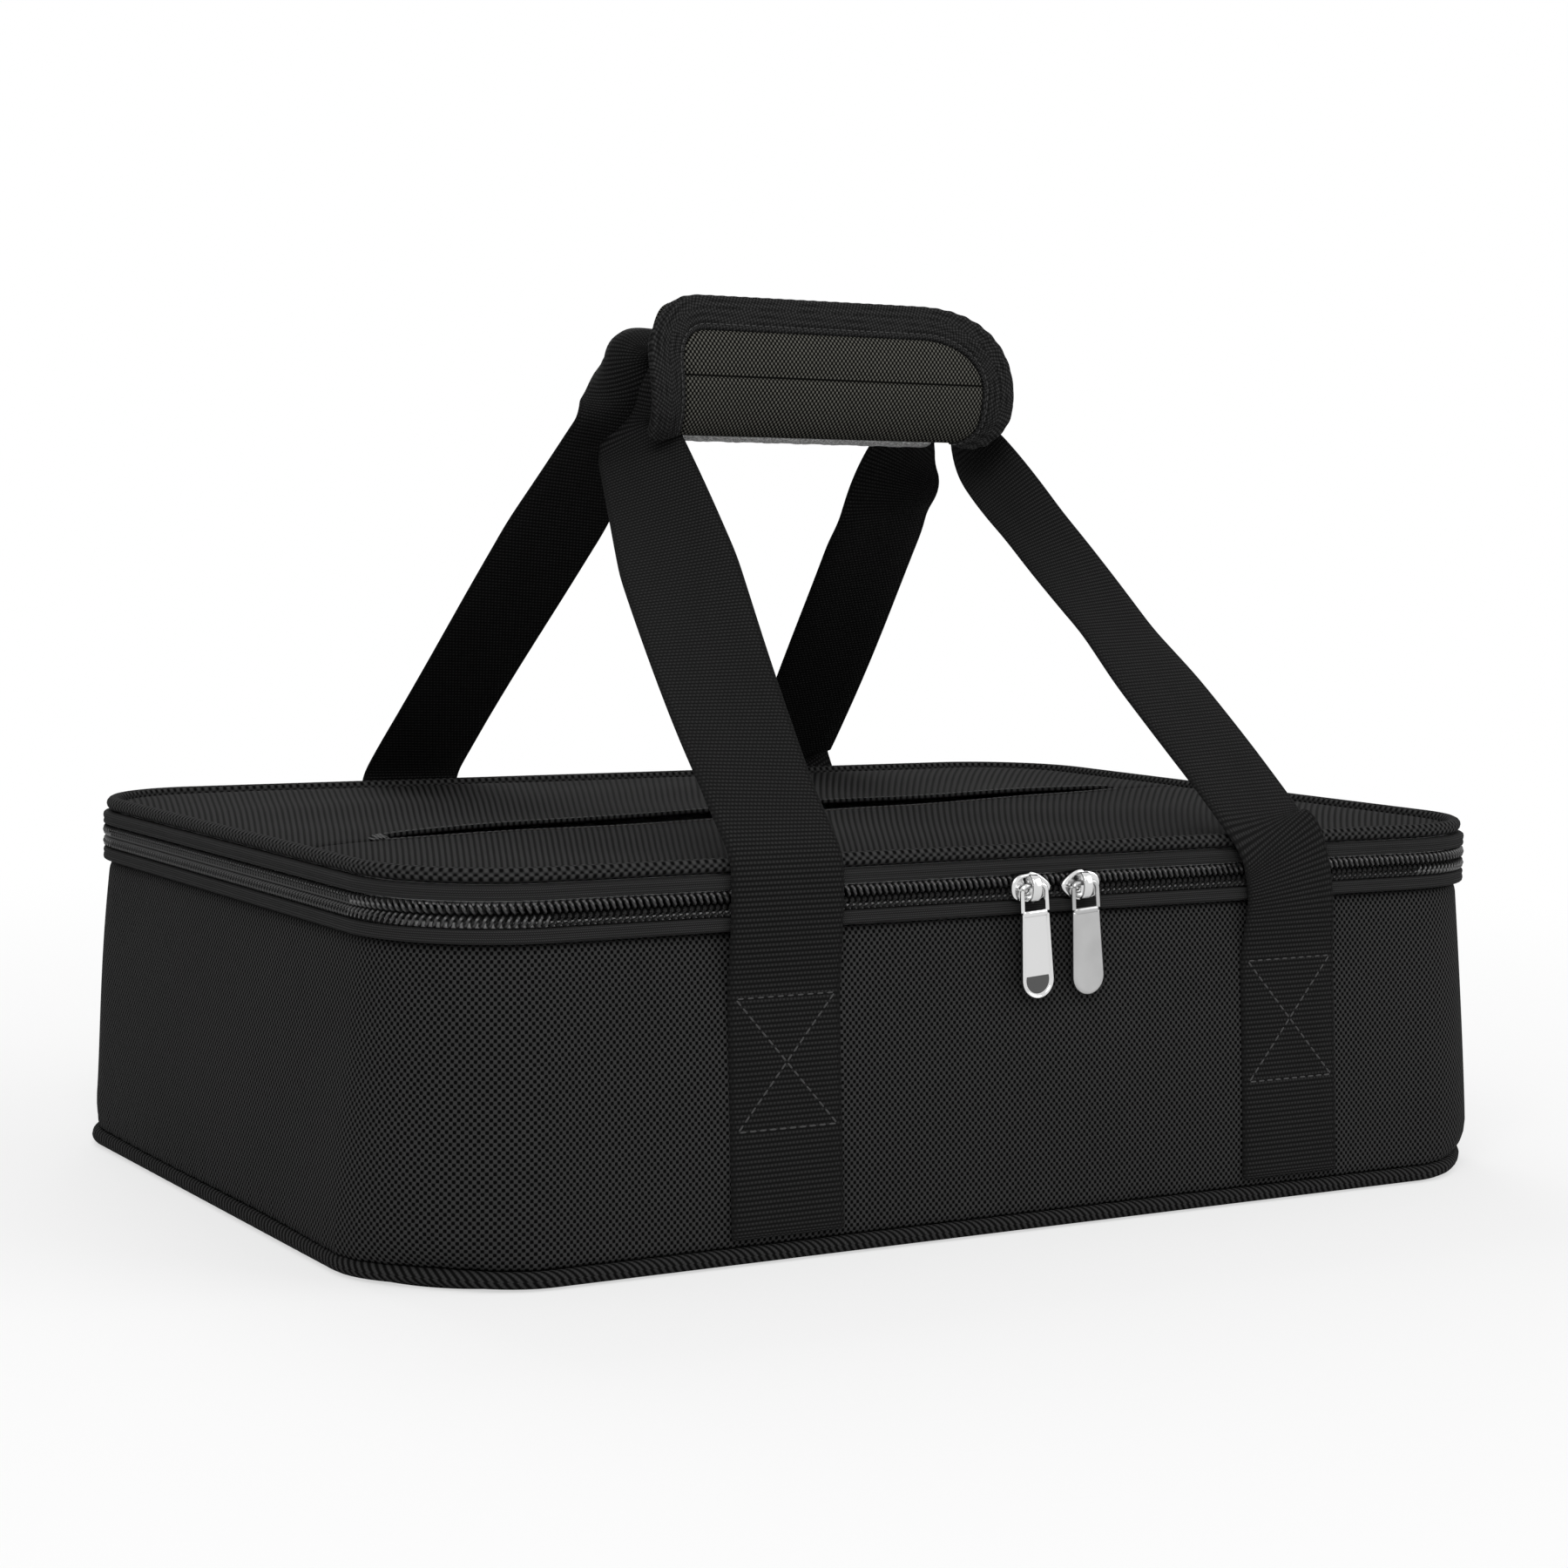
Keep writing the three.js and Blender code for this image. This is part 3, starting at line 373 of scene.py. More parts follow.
def finish_mesh(name, mesh, material, shell):
    """Joins doubled points, turns the faces outwards and marks edges sharper than 50 degrees."""
    work = bmesh.new()
    work.from_mesh(mesh)
    bmesh.ops.remove_doubles(work, verts=work.verts, dist=0.002 * MM)
    if shell is None:
        bmesh.ops.recalc_face_normals(work, faces=work.faces)
    work.to_mesh(mesh)
    work.free()
    if shell is not None:
        away = read(mesh.polygons, "center", 3) - np.array(shell) * MM
        if (away * read(mesh.polygons, "normal", 3) * read(mesh.polygons, "area", 1)).sum() < 0:
            mesh.flip_normals()
    mesh.polygons.foreach_set("use_smooth", np.ones(len(mesh.polygons), bool))
    mesh.set_sharp_from_angle(angle=math.radians(50))
    mesh.materials.append(material)
    piece = bpy.data.objects.new(name, mesh)
    bpy.context.scene.collection.objects.link(piece)
    return piece


def make(name, grids, material, shell=None):
    """A piece from grids of points with their maps. A grid may be a stack of alike ones. Without shell the
    piece is closed; with it, an open sheet that faces away from the point shell."""
    places, maps, faces, first = [], [], [], 0
    for points, uv in grids:
        rows, columns = points.shape[-3:-1]
        stack = points.reshape(-1, rows, columns, 3)
        starts = first + np.arange(len(stack))[:, None, None] * rows * columns
        faces.append((starts + grid_faces(rows, columns)).reshape(-1, 4))
        places.append(stack.reshape(-1, 3))
        maps.append(np.broadcast_to(uv, points.shape[:-1] + (2,)).reshape(-1, 2))
        first += places[-1].shape[0]
    faces = np.concatenate(faces)
    mesh = bpy.data.meshes.new(name)
    mesh.from_pydata((np.concatenate(places) * MM).tolist(), [], faces.tolist())
    layer = mesh.uv_layers.new(name="UVMap")
    layer.data.foreach_set("uv", np.concatenate(maps)[faces.reshape(-1)].reshape(-1))
    return finish_mesh(name, mesh, material, shell)


def fit(piece, body, *nodes, slot=None):
    """Sets a piece on its body, in the place of the solids that it stands for."""
    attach(piece, body)
    if nodes:
        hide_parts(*nodes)


def thicken(piece, thickness):
    """Gives an open sheet its thickness, inwards."""
    wall = piece.modifiers.new("thickness", "SOLIDIFY")
    wall.thickness, wall.offset, wall.use_even_offset = thickness * MM, -1.0, True


def spot(*parts):
    """Points, or places on a map, from coordinates that are spread over each other's rows and columns."""
    return np.stack(np.broadcast_arrays(*parts), -1)


def unit(vectors):
    return vectors / np.linalg.norm(vectors, axis=-1, keepdims=True)


def walk(path):
    """The distance walked along a path at each of its points."""
    return np.concatenate([[0], np.cumsum(np.linalg.norm(np.diff(path, axis=0), axis=1))])


def at(places, walked, rows):
    """The rows of numbers found at some places of a walk."""
    return np.stack([np.interp(places, walked, column) for column in rows.T], -1)


def steps(start, end, pitch):
    return np.linspace(start, end, int(math.ceil(abs(end - start) / pitch)) + 1)


def full_turn(sides):
    return np.linspace(0, TURN, sides + 1)


def ease(value):
    """A share held between 0 and 1."""
    return np.clip(value, 0, 1)


def above(value, least=0.0):
    """How far a value passes the least, and 0 short of it."""
    return np.clip(value - least, 0, None)


def swell(x, y, seed, sizes, depth):
    """A gentle uneven surface: the sum of cosines with lengths between two sizes, in all directions."""
    draw = np.random.default_rng(seed)
    total = 0.0
    for _ in range(9):
        turn, phase = draw.uniform(0, TURN, 2)
        length = draw.uniform(*sizes)
        total = total + np.cos((x * math.cos(turn) + y * math.sin(turn)) * TURN / length + phase)
    return total * depth / 3


def capped(points, uv):
    """A tube's grid, and a flat cap for each end: every point of the end loop drawn to their middle."""
    caps = [(points, uv)]
    for loop, places in ((points[0], uv[0]), (points[-1], uv[-1])):
        middle = np.broadcast_to(loop[:-1].mean(0), loop.shape)
        caps.append((np.stack([loop, middle]), np.stack([places, places])))
    return caps


def rings(along, sides):
    """A full turn of unit vectors about each direction."""
    helper = np.where(np.abs(along[:, 2:3]) < 0.9, [[0.0, 0.0, 1.0]], [[1.0, 0.0, 0.0]])
    first = unit(np.cross(along, helper))
    second = np.cross(along, first)
    turn = full_turn(sides)[:, None]
    return first[:, None] * np.cos(turn) + second[:, None] * np.sin(turn)


def tube(path, radius, sides):
    """A round thread along a path, with its ends drawn to a point."""
    size = np.full(len(path), radius)
    size[0] = size[-1] = 0
    points = path[:, None] + rings(unit(np.gradient(path, axis=0)), sides) * size[:, None, None]
    return points, spot(walk(path)[:, None], full_turn(sides) * radius)


def capsules(starts, ends, radius, sides=6):
    """Short threads, each a round bar with domed ends: its radius rises over the first fifth."""
    share = np.array([0, 0.06, 0.2, 0.5, 0.8, 0.94, 1.0])
    size = radius * np.array([0, 0.65, 1, 1.05, 1, 0.65, 0])
    middle = starts[:, None] + (ends - starts)[:, None] * share[:, None]
    points = middle[:, :, None] + rings(unit(ends - starts), sides)[:, None] * size[:, None, None]
    return points, spot(share[:, None] * 2, full_turn(sides))


def stitches(path, pitch, length, radius):
    """A sewn line along a path: one thread in every pitch."""
    walked = walk(path)
    count = max(int(walked[-1] / pitch), 1)
    start = (np.arange(count) + 0.5) * walked[-1] / count - length / 2
    return capsules(at(start, walked, path), at(start + length, walked, path), radius)


# The outline of the case, walked from the middle of the back by the left end and the front

CORNER_X, CORNER_Y = CASE_LENGTH / 2 - CORNER_RADIUS, CASE_WIDTH / 2 - CORNER_RADIUS
ARC = CORNER_RADIUS * math.pi / 2
OUTLINE = 4 * (CORNER_X + CORNER_Y + ARC)


def outline_table():
    """Rows of distance walked, centre, outward direction and share of the way into a corner."""
    share = np.linspace(0, 1, 61)
    rows = [np.array([[0, 0, CORNER_Y, 0, 1, 0]])]
    walked = CORNER_X
    for k, (sx, sy) in enumerate([(-1, 1), (-1, -1), (1, -1), (1, 1)]):
        turn = math.pi / 2 * (k + 1 + share)
        rows.append(spot(
            walked + ARC * share, sx * CORNER_X, sy * CORNER_Y,
            np.cos(turn), np.sin(turn), np.sin(math.pi * share) ** 2))
        walked += ARC + 2 * (CORNER_Y if k % 2 == 0 else CORNER_X)
    rows.append(np.array([[OUTLINE, 0, CORNER_Y, 0, 1, 0]]))
    return np.concatenate(rows)


TABLE = outline_table()


def corner_share(s):
    return np.interp(s, TABLE[:, 0], TABLE[:, 5])


def around(s, out, up):
    """The point at distance s along the outline, as far out from it and as high up as given."""
    x, y, out_x, out_y = (np.interp(s, TABLE[:, 0], TABLE[:, k]) for k in (1, 2, 3, 4))
    radius = CORNER_RADIUS + out
    return spot(x + radius * out_x, y + radius * out_y, up)


ROUND = steps(0, OUTLINE, 3.0)[:, None]
ZIPPED = steps(HINGE_HALF, OUTLINE - HINGE_HALF, 3.0)[:, None]


def flare(up):
    """How far the wall stands out at a height: it leans out evenly towards the foot."""
    return FLARE * (1 - up / WALL_TOP)


# Case

def make_side_cloth():
    """The wall: flared, drawn in under the zip tape and over the foot cord, and tucked at the corners."""
    edge = np.linspace(0, 4, 6)
    up = np.concatenate([WALL_FOOT + edge, np.linspace(12, 88, 24), WALL_TOP - edge[::-1]])
    rise = up - WALL_FOOT
    corner = corner_share(ROUND)
    tuck = ease(1 - rise / TUCK_HEIGHT) ** 1.5
    foot = -0.6 * ease(1 - rise / 3) ** 2
    head = -0.8 * ease(1 - (WALL_TOP - up) / 3.5) ** 2
    belly = 0.9 * np.sin(math.pi * rise / (WALL_TOP - WALL_FOOT))
    wrap = ROUND * TURN / OUTLINE
    uneven = swell(np.cos(wrap) * 200, up + np.sin(wrap) * 200, 11, (70, 150), 0.35)
    pucker = 0.22 * np.cos(ROUND * TURN / 9.3 + 2 * np.sin(ROUND / 31)) * ease(1 - rise / 14)
    out = flare(up) + foot + head + belly * (1 - corner * 0.6) + uneven + pucker
    points = around(ROUND, out - corner * CORNER_TUCK * tuck, up + corner * CORNER_LIFT * tuck)
    piece = make("side_cloth", [(points, spot(ROUND, up))], OXFORD, shell=(0, 0, 50))
    thicken(piece, CLOTH)
    fit(piece, "base", "base_side_fabric")


def make_foot_cord():
    """Cord in a slanted cover round the foot: a circle carried round, drawn in and up at the corners."""
    corner, turn = corner_share(ROUND), full_turn(14)
    ripple = 1 + 0.03 * np.cos(ROUND * TURN / 7.1 + 3 * np.cos(ROUND / 40))
    out = flare(WALL_FOOT) - CLOTH / 2 + FOOT_CORD_RADIUS * np.cos(turn) * ripple - corner * CORNER_TUCK
    points = around(ROUND, out, FOOT_CORD_UP + FOOT_CORD_RADIUS * np.sin(turn) + corner * CORNER_LIFT)
    uv = spot(ROUND, np.linspace(0, 15, 15))
    fit(make("foot_cord", [(points, uv)], FOOT_CORD), "base", "bottom_piping")


def make_zip_tape(name, body, node, foot, up_sign):
    """Folded zip tape: a band with rounded edges and a stitched crease along its middle."""
    out = np.array([-1.4, 0.6, 1.7, 2.25, 2.4, 2.3, 2.05, 2.25, 2.35, 2.2, 1.7, 0.6, -1.4, -1.4])
    share = np.array([0, 0, 0.05, 0.15, 0.3, 0.45, 0.55, 0.68, 0.8, 0.9, 0.97, 1, 1, 0])
    up = foot + TAPE_HEIGHT * (share if up_sign > 0 else 1 - share)
    points = around(ZIPPED, out + 0.06 * np.cos(ZIPPED * TURN / 11), up)
    uv = spot(ZIPPED, walk(spot(out, up)))
    fit(make(name, capped(points, uv), TAPE), body, node)


def make_coil(name, body, node, centre_up, hand):
    """The zip's coil: a thread wound along the band, one slanted loop every pitch, right or left handed.
    The loops of the two coils lie between each other."""
    pitch, thread, deep, tall, slant = 2.1, 0.55, 1.0, 1.4, 0.3
    start, end = HINGE_HALF + 1, OUTLINE - HINGE_HALF - 2
    loops = int((end - start) / pitch) - 1
    t = np.linspace(0, loops, loops * 10 + 1)
    turn = TURN * t * hand
    s = start + (t + 0.25 - 0.25 * hand) * pitch + slant * hand * np.sin(turn)
    path = around(s, 0.95 + deep * np.cos(turn), centre_up + tall * np.sin(turn))
    fit(make(name, [tube(path, thread, 5)], NYLON), body, node)


def make_lid_cord():
    """Cord in a beaded cover round the lid: a circle carried round."""
    turn = full_turn(14)
    ripple = 0.05 * np.cos(ROUND * TURN / 13 + 2 * np.cos(ROUND / 37))
    points = around(ROUND, PIPING_OUT + PIPING_RADIUS * np.cos(turn) + ripple,
                    PIPING_UP + PIPING_RADIUS * np.sin(turn))
    fit(make("lid_cord", [(points, spot(ROUND, np.linspace(0, 13.6, 15)))], LID_CORD), "lid", "lid_piping")


def slit_line(x):
    """The slanting line between the two halves of the lid's top."""
    slope = (SLIT_RIGHT[1] - SLIT_LEFT[1]) / (SLIT_RIGHT[0] - SLIT_LEFT[0])
    return SLIT_LEFT[1] + slope * (x - SLIT_LEFT[0])


def half_span(x):
    """Half the depth of the lid at x: straight sides with quarter circles at the corners."""
    return CORNER_Y + np.sqrt(above(LID_RADIUS ** 2 - above(np.abs(x), CORNER_X) ** 2))


def crown(x, y):
    """The padded top: low at its seam with the cord, rising to a flat middle."""
    inward = above(LID_RADIUS - np.hypot(above(np.abs(x), CORNER_X), above(np.abs(y), CORNER_Y)))
    return 1.5 * (1 - np.exp(-inward / 9)) + swell(x, y, 5, (60, 130), 0.3) * (1 - np.exp(-inward / 12))


def opening(x):
    """How far the pocket's slit gapes at x: 0 at its ends, and 1 a little left of its middle."""
    share = ease((x - SLIT_LEFT[0]) / (SLIT_RIGHT[0] - SLIT_LEFT[0]))
    return ease(np.sin(math.pi * share ** 0.9)) ** 0.4


def lid_surface(x, y, side):
    """Height of the lid's cloth: its crown, with the rear hem lifted and the front hem sunk along the slit,
    both hems thicker over their last 4 mm, and the closed seam at the slit's ends drawn in."""
    apart = np.abs(y - slit_line(x))
    gape = opening(x)
    sprung = np.where(side > 0, 2.4, -0.6) * gape * np.exp(-apart / 16)
    hem = 0.3 * ease(gape * 6) * (1 - ease((apart - 4.0) / 0.6))
    drawn = -0.8 * (1 - ease(gape * 4)) * np.exp(-apart / 1.6)
    return LID_TOP - LID_CLOTH / 2 + crown(x, y) + sprung + hem + drawn


def make_lid_panel(name, node, side):
    """Half of the lid's top, ruled from the slit's hem to the cord; its height is the lid's surface. Its
    map counts the ribs, which run back and to the right and fan out a little."""
    share = np.linspace(-1, 1, 131)
    x = ((CASE_LENGTH / 2 + LID_EDGE) * (0.65 * share + 0.35 * np.sin(share * math.pi / 2)))[:, None]
    near = slit_line(x) + side * (0.15 + SLIT_HALF * opening(x))
    hem = np.array([0, 0.5, 1.2, 2.2, 3.3, 4.0, 4.3, 4.7, 5.5, 7.0]) / 90
    rows = np.concatenate([hem, np.linspace(0.11, 0.97, 40), [0.985, 0.995, 1.0]])
    y = near + (side * half_span(x) - near) * rows
    points = spot(x, y, lid_surface(x, y, side))
    ribs = 1.87 * (0.43 * x - 0.245 * y - 0.00025 * x * x - 0.00027 * x * y + 0.0002 * y * y)
    piece = make(name, [(points, spot(ribs, 0.4 * x + 0.92 * y))], RIBBED, shell=(0, 0, 50))
    thicken(piece, LID_CLOTH)
    fit(piece, "lid", node)


def make_slit_seams():
    """Stitches along both hems of the slit, on along the closed seam, and a zigzag bar at its left end."""
    lines = []
    for side, shift in ((-1, 2.56), (1, 2.4)):
        x = np.linspace(SLIT_LEFT[0] + 2, SLIT_RIGHT[0] - 2, 200)
        y = slit_line(x) + side * (opening(x) * SLIT_HALF + shift)
        lines.append(stitches(spot(x, y, lid_surface(x, y, side) + 0.05), 2.6, 1.8, 0.24))
    count = np.arange(9)
    across = np.where(count % 2, 3.4, -3.4)
    x = SLIT_LEFT[0] - 1.0 + count * 0.6
    y = slit_line(x) + across
    bar = spot(x, y, lid_surface(x, y, np.sign(across)) + 0.25)
    lines.append(capsules(bar[:-1], bar[1:], 0.18))
    fit(make("slit_stitches", lines, THREAD), "lid", slot="ribbed")


def make_pocket_cloth():
    """Smooth cloth under the slit: a flat strip that follows it, sagging a little along its middle."""
    x = steps(SLIT_LEFT[0] - 4, SLIT_RIGHT[0] + 4, 4.0)[:, None]
    half = 20.0
    across = np.linspace(-half, half, 21)
    z = LID_TOP - 2.45 - 0.15 * np.cos(across * math.pi / (2 * half))
    points = spot(x, slit_line(x) + across, z)
    piece = make("pocket_cloth", [(points, points[..., :2])], TAPE, shell=(0, 0, 50))
    thicken(piece, 0.5)
    fit(piece, "lid", "lid_pocket_backing")


# Webbing

FRONT, REAR = -1, 1
STRAP_FEET = {(-1, FRONT): -81.5, (1, FRONT): 101.0, (-1, REAR): -71.0, (1, REAR): 94.0}


def wall_out(up):
    """How far from the middle the webbing's centre lies on the wall at a height."""
    return CASE_WIDTH / 2 + flare(up) + OFF_WALL + STRAP_THICKNESS / 2


def bezier(handles, count):
    """A cubic curve through its first and last handle, without its first point."""
    t = np.linspace(0, 1, count + 1)[1:, None]
    weights = ((1 - t) ** 3, 3 * t * (1 - t) ** 2, 3 * t * t * (1 - t), t ** 3)
    return sum(weight * handle for weight, handle in zip(weights, handles))


def strap_leg(side, face, run, bend, lean, mouth, facing, wide, turn=1):
    """One leg from foot to run, as rows of centre (3), width direction (3) and width (1). It lies on the
    wall, crosses the zip, goes round the lid's cord on a circle, leans over the lid on a curve to its mouth
    under the grip, and climbs from there into a quarter turn. The right leg also moves in sideways over the
    zip. The turn towards edge on and the width follow the height."""
    foot_x, shift = STRAP_FEET[side, face], LEG_SHIFT if side > 0 else 0.0
    zip_out, cord_out = CASE_WIDTH / 2 + OFF_ZIP + STRAP_THICKNESS / 2, CASE_WIDTH / 2 + PIPING_OUT
    up = np.linspace(STRAP_FOOT, STITCH_TOP, 30)
    sewn = spot(foot_x, face * wall_out(up), up)
    crossed = np.array([WALL_TOP + 0.3, ZIP_CROSSED])
    crossing = spot(foot_x - shift * np.array([0, 0.22]), face * zip_out, crossed)
    radius = zip_out - cord_out
    bent = np.linspace(0, LEAN, 8)
    arc = spot(foot_x - shift * (0.6 + 0.4 * bent / LEAN), face * (cord_out + radius * np.cos(bent)),
               PIPING_UP + radius * np.sin(bent))
    mouth, run = np.array(mouth), np.array(run)
    finish = run + np.array([side * bend, 0.0, -bend])
    way, rest = mouth - arc[-1], np.linalg.norm(finish - mouth)
    reach = np.linalg.norm(way)
    leaning = np.array([0, -face * math.sin(LEAN), math.cos(LEAN)])
    climb = bezier([arc[-1], arc[-1] + leaning * reach * lean, mouth - way * 0.25, mouth], 60)
    below = finish - np.array([0, 0, rest * 0.5])
    rising = bezier([mouth, mouth + way / reach * rest * 0.4, below, finish], 14)
    quarter = np.linspace(0, math.pi / 2, 12)[1:]
    into_run = finish + bend * spot(side * (np.cos(quarter) - 1), 0, np.sin(quarter))
    places = np.concatenate([sewn, crossing, arc, climb, rising, into_run])
    edge_on = np.radians(np.interp(places[:, 2], *facing))
    width = spot(side * turn * np.cos(edge_on), -face * np.sin(edge_on), 0)
    return np.concatenate([places, width, np.interp(places[:, 2], *wide)[:, None]], -1)


def soften(rows, reach):
    """Runs a short even average along the rows, with both ends kept."""
    padded = np.concatenate([np.repeat(rows[:1], reach, 0), rows, np.repeat(rows[-1:], reach, 0)])
    total = np.cumsum(np.concatenate([np.zeros((1, rows.shape[1])), padded]), axis=0)
    return (total[2 * reach + 1:] - total[:-2 * reach - 1]) / (2 * reach + 1)


def strap_section():
    """The webbing's section, walked round: flat faces, thinner woven edges and rounded ends."""
    across = np.array([-1, -0.985, -0.95, -0.9, -0.86, -0.6, -0.3, 0, 0.3, 0.6, 0.86, 0.9, 0.95, 0.985, 1])
    thick = np.array([0, 0.5, 0.72, 0.74, 1, 1, 1, 1, 1, 1, 1, 0.74, 0.72, 0.5, 0]) * STRAP_THICKNESS / 2
    return np.concatenate([across, across[-2::-1]]), np.concatenate([thick, -thick[-2::-1]])


def make_strap(name, face, left, right, nodes):
    """A whole handle strap: both legs and the run between them, one length of webbing. Near the grip its
    edges curl in by the square of the distance from its middle line; inside the grip it is gathered."""
    rows = np.concatenate([strap_leg(-1, face, **left), strap_leg(1, face, **right)[::-1]])
    walked = walk(rows[:, :3])
    even = steps(0, walked[-1], 1.6)
    rows = soften(soften(at(even, walked, rows), 3), 2)
    centre, wide = rows[:, :3], rows[:, 6]
    x, up = centre[:, 0], centre[:, 2]
    along = unit(np.gradient(centre, axis=0))
    normal = unit(np.cross(along, rows[:, 3:6]))
    width = np.cross(normal, along)
    inward = -np.sign(normal[len(rows) // 2, 2])
    inside = ease((from_ends(x) + 4) / 9) * ease((up - RUN_HEIGHT + 6) / 4)
    wide = wide + (GATHERED_WIDTH - wide) * inside
    curl = EDGE_CURL * ease((up - RUN_HEIGHT + 24) / 22) * (1 - inside) * inward
    free = ease((up - LEG_FREE) / 25) * ease((RUN_HEIGHT - 30 - up) / 20)
    sway = SWAY * free * np.sin(even / 23 + face)
    across, thick = strap_section()
    lift = curl[:, None] * across ** 2 + sway[:, None] * across + thick
    sideways = wide[:, None] / 2 * across
    points = centre[:, None] + width[:, None] * sideways[..., None] + normal[:, None] * lift[..., None]
    strap = make(name, capped(points, spot(even[:, None], across * STRAP_WIDTH / 2)), WEBBING)
    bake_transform(strap)
    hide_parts(*nodes)


def make_strap_stitches(name, face):
    """The sewn boxes at the feet of a strap: a line above and below, and a cross between them."""
    half, low, high = STRAP_WIDTH / 2 - 2.2, STITCH_FOOT, STITCH_TOP - 1.5
    share, lines = np.linspace(0, 1, 20), []
    for side in (-1, 1):
        for start, foot, top in ((-1, high, high), (-1, low, low), (-1, low, high), (1, low, high)):
            up = foot + (top - foot) * share
            out = face * (wall_out(up) + STRAP_THICKNESS / 2 - 0.02)
            path = spot(STRAP_FEET[side, face] + half * start * (1 - 2 * share), out, up)
            lines.append(stitches(path, 3.1, 2.3, 0.3))
    fit(make(name, lines, THREAD), "base", slot="webbing")


# Grip

def oblong(turn, power):
    """A rounded oblong at a turn: the cosine and the sine, each to a power and with its sign kept."""
    return [np.sign(wave) * np.abs(wave) ** power for wave in (np.cos(turn), np.sin(turn))]


def wrap(share, grow):
    """Section of the padded grip, walked by shares of a turn from the rear over the top: depth and height
    at a growth above the roll."""
    depth, height = oblong(TURN * share, 0.8)
    return (GRIP_DEPTH + grow) * depth, GRIP_MIDDLE + (GRIP_HEIGHT + grow) * height


FLAP_SHARES = np.linspace(0.67, 0.325, 80)
FLAP_WALK = walk(spot(*wrap(FLAP_SHARES, 2.0)))
FLAP_ARC = FLAP_WALK[-1]
SEAM_CLIMB = 0.44 * FLAP_ARC
FLAP_CORNERS = ((24.0, 22.0), (34.0, 30.0), (14.0, 14.0))
WINDOW_CORNERS = ((9.0, 10.0), (24.0, 16.0), (9.0, 10.0))


def on_flap(x, climb, height):
    """A point of the flap from its place along the grip, its walk up from the lower edge, and its height.
    The lower left corner is drawn in."""
    x = x + 4.5 * ease(1 - climb / 32) * ease((-x - 20) / 40)
    y, z = wrap(np.interp(climb, FLAP_WALK, FLAP_SHARES), height)
    return spot(x, y + 0.6 * above(-climb), z - 0.8 * above(-climb))


def fit_flap(piece, *nodes):
    """Fixes a piece of the flap in place where it was made, and hides the solids that it stands for."""
    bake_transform(piece)
    if nodes:
        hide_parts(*nodes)


def flap_edge(inset, corners):
    """A walk round the flap's edge from its lower left end to its lower right end: straight runs joined by
    quarter ellipses. Returns the walk's places and how far each lies in a corner, from 0 to 1."""
    left, right, top, foot = FLAP_LEFT + inset, FLAP_RIGHT - inset, FLAP_ARC - inset, 0.5
    (ax, ay), (bx, by), (cx, cy) = corners
    turn, share = np.linspace(0, math.pi / 2, 19), np.linspace(0, 1, 25)
    cos, sin = np.cos(turn), np.sin(turn)
    runs = [
        spot(left, foot + (top - ay - foot) * share),
        spot(left + ax - ax * cos, top - ay + ay * sin),
        spot(left + ax + (right - bx - left - ax) * share, top),
        spot(right - bx + bx * sin, top - by + by * cos),
        spot(right, top - by + (cy - top + by) * share),
        spot(right - cx + cx * cos, cy - (cy - foot) * sin),
    ]
    return np.concatenate(runs), np.tile(np.concatenate([0 * share, np.sin(2 * turn)]), 3)


def make_flap_binding():
    """Herringbone tape folded over the flap's edge. Its section swells from the folded edge to a low crown
    and sinks to the stitched inner edge; round the corners a wave along its walk puckers it."""
    outer, corner = flap_edge(0.0, FLAP_CORNERS)
    inner, _ = flap_edge(BINDING, WINDOW_CORNERS)
    walked = walk((outer + inner) / 2)
    even = steps(0, walked[-1], 0.7)
    outer, inner = at(even, walked, outer), at(even, walked, inner)
    corner = np.interp(even, walked, corner)[:, None]
    front = np.array([0, -0.02, -0.01, 0.03, 0.1, 0.2, 0.34, 0.5, 0.66, 0.8, 0.88, 0.94, 0.985, 1.0])
    back = np.array([1.0, 0.9, 0.5, 0.1, 0.02, 0])
    across = np.concatenate([front, back])
    height = np.array([1.9, 2.7, 3.7, 4.5, 5.1, 5.4, 5.3, 5.0, 4.65, 4.3, 3.85, 3.85, 3.7, 3.2,
                       0.6, 0.3, 0.3, 0.35, 0.9, 1.9])
    swollen = above(height, 3.0) / 1.5
    pucker = np.cos(even[:, None] * TURN / 4.3 + 2.2 * across) * (0.06 + 0.14 * corner)
    ridge = 0.3 * np.cos(across * BINDING * TURN / 2.3) * (0.15 + 0.85 * corner)
    place = outer[:, None] + (inner - outer)[:, None] * across[:, None]
    points = on_flap(place[..., 0], place[..., 1], height + (pucker + ridge) * swollen)
    uv = spot(even[:, None], np.concatenate([front, 2 - back]) * BINDING)
    fit_flap(make("grip_binding", capped(points, uv), TWILL), "grip_flap_binding")
    line = outer + (inner - outer) * 0.885
    sewn = stitches(on_flap(line[:, 0], line[:, 1], 3.95), 2.4, 1.7, 0.2)
    piece = make("grip_binding_stitches", [sewn], THREAD)
    fit_flap(piece)


def window_span(x):
    """Lower and upper end of the flap's panel at x, with quarter ellipses at three corners."""
    left, right, top = FLAP_LEFT + BINDING, FLAP_RIGHT - BINDING, FLAP_ARC - BINDING
    (ax, ay), (bx, by), (cx, cy) = WINDOW_CORNERS

    def drop(into, reach, deep):
        return deep * (1 - np.sqrt(1 - ease(into / reach) ** 2))

    upper = top - drop(left + ax - x, ax, ay) - drop(x - right + bx, bx, by)
    return drop(x - right + cx, cx, cy), upper


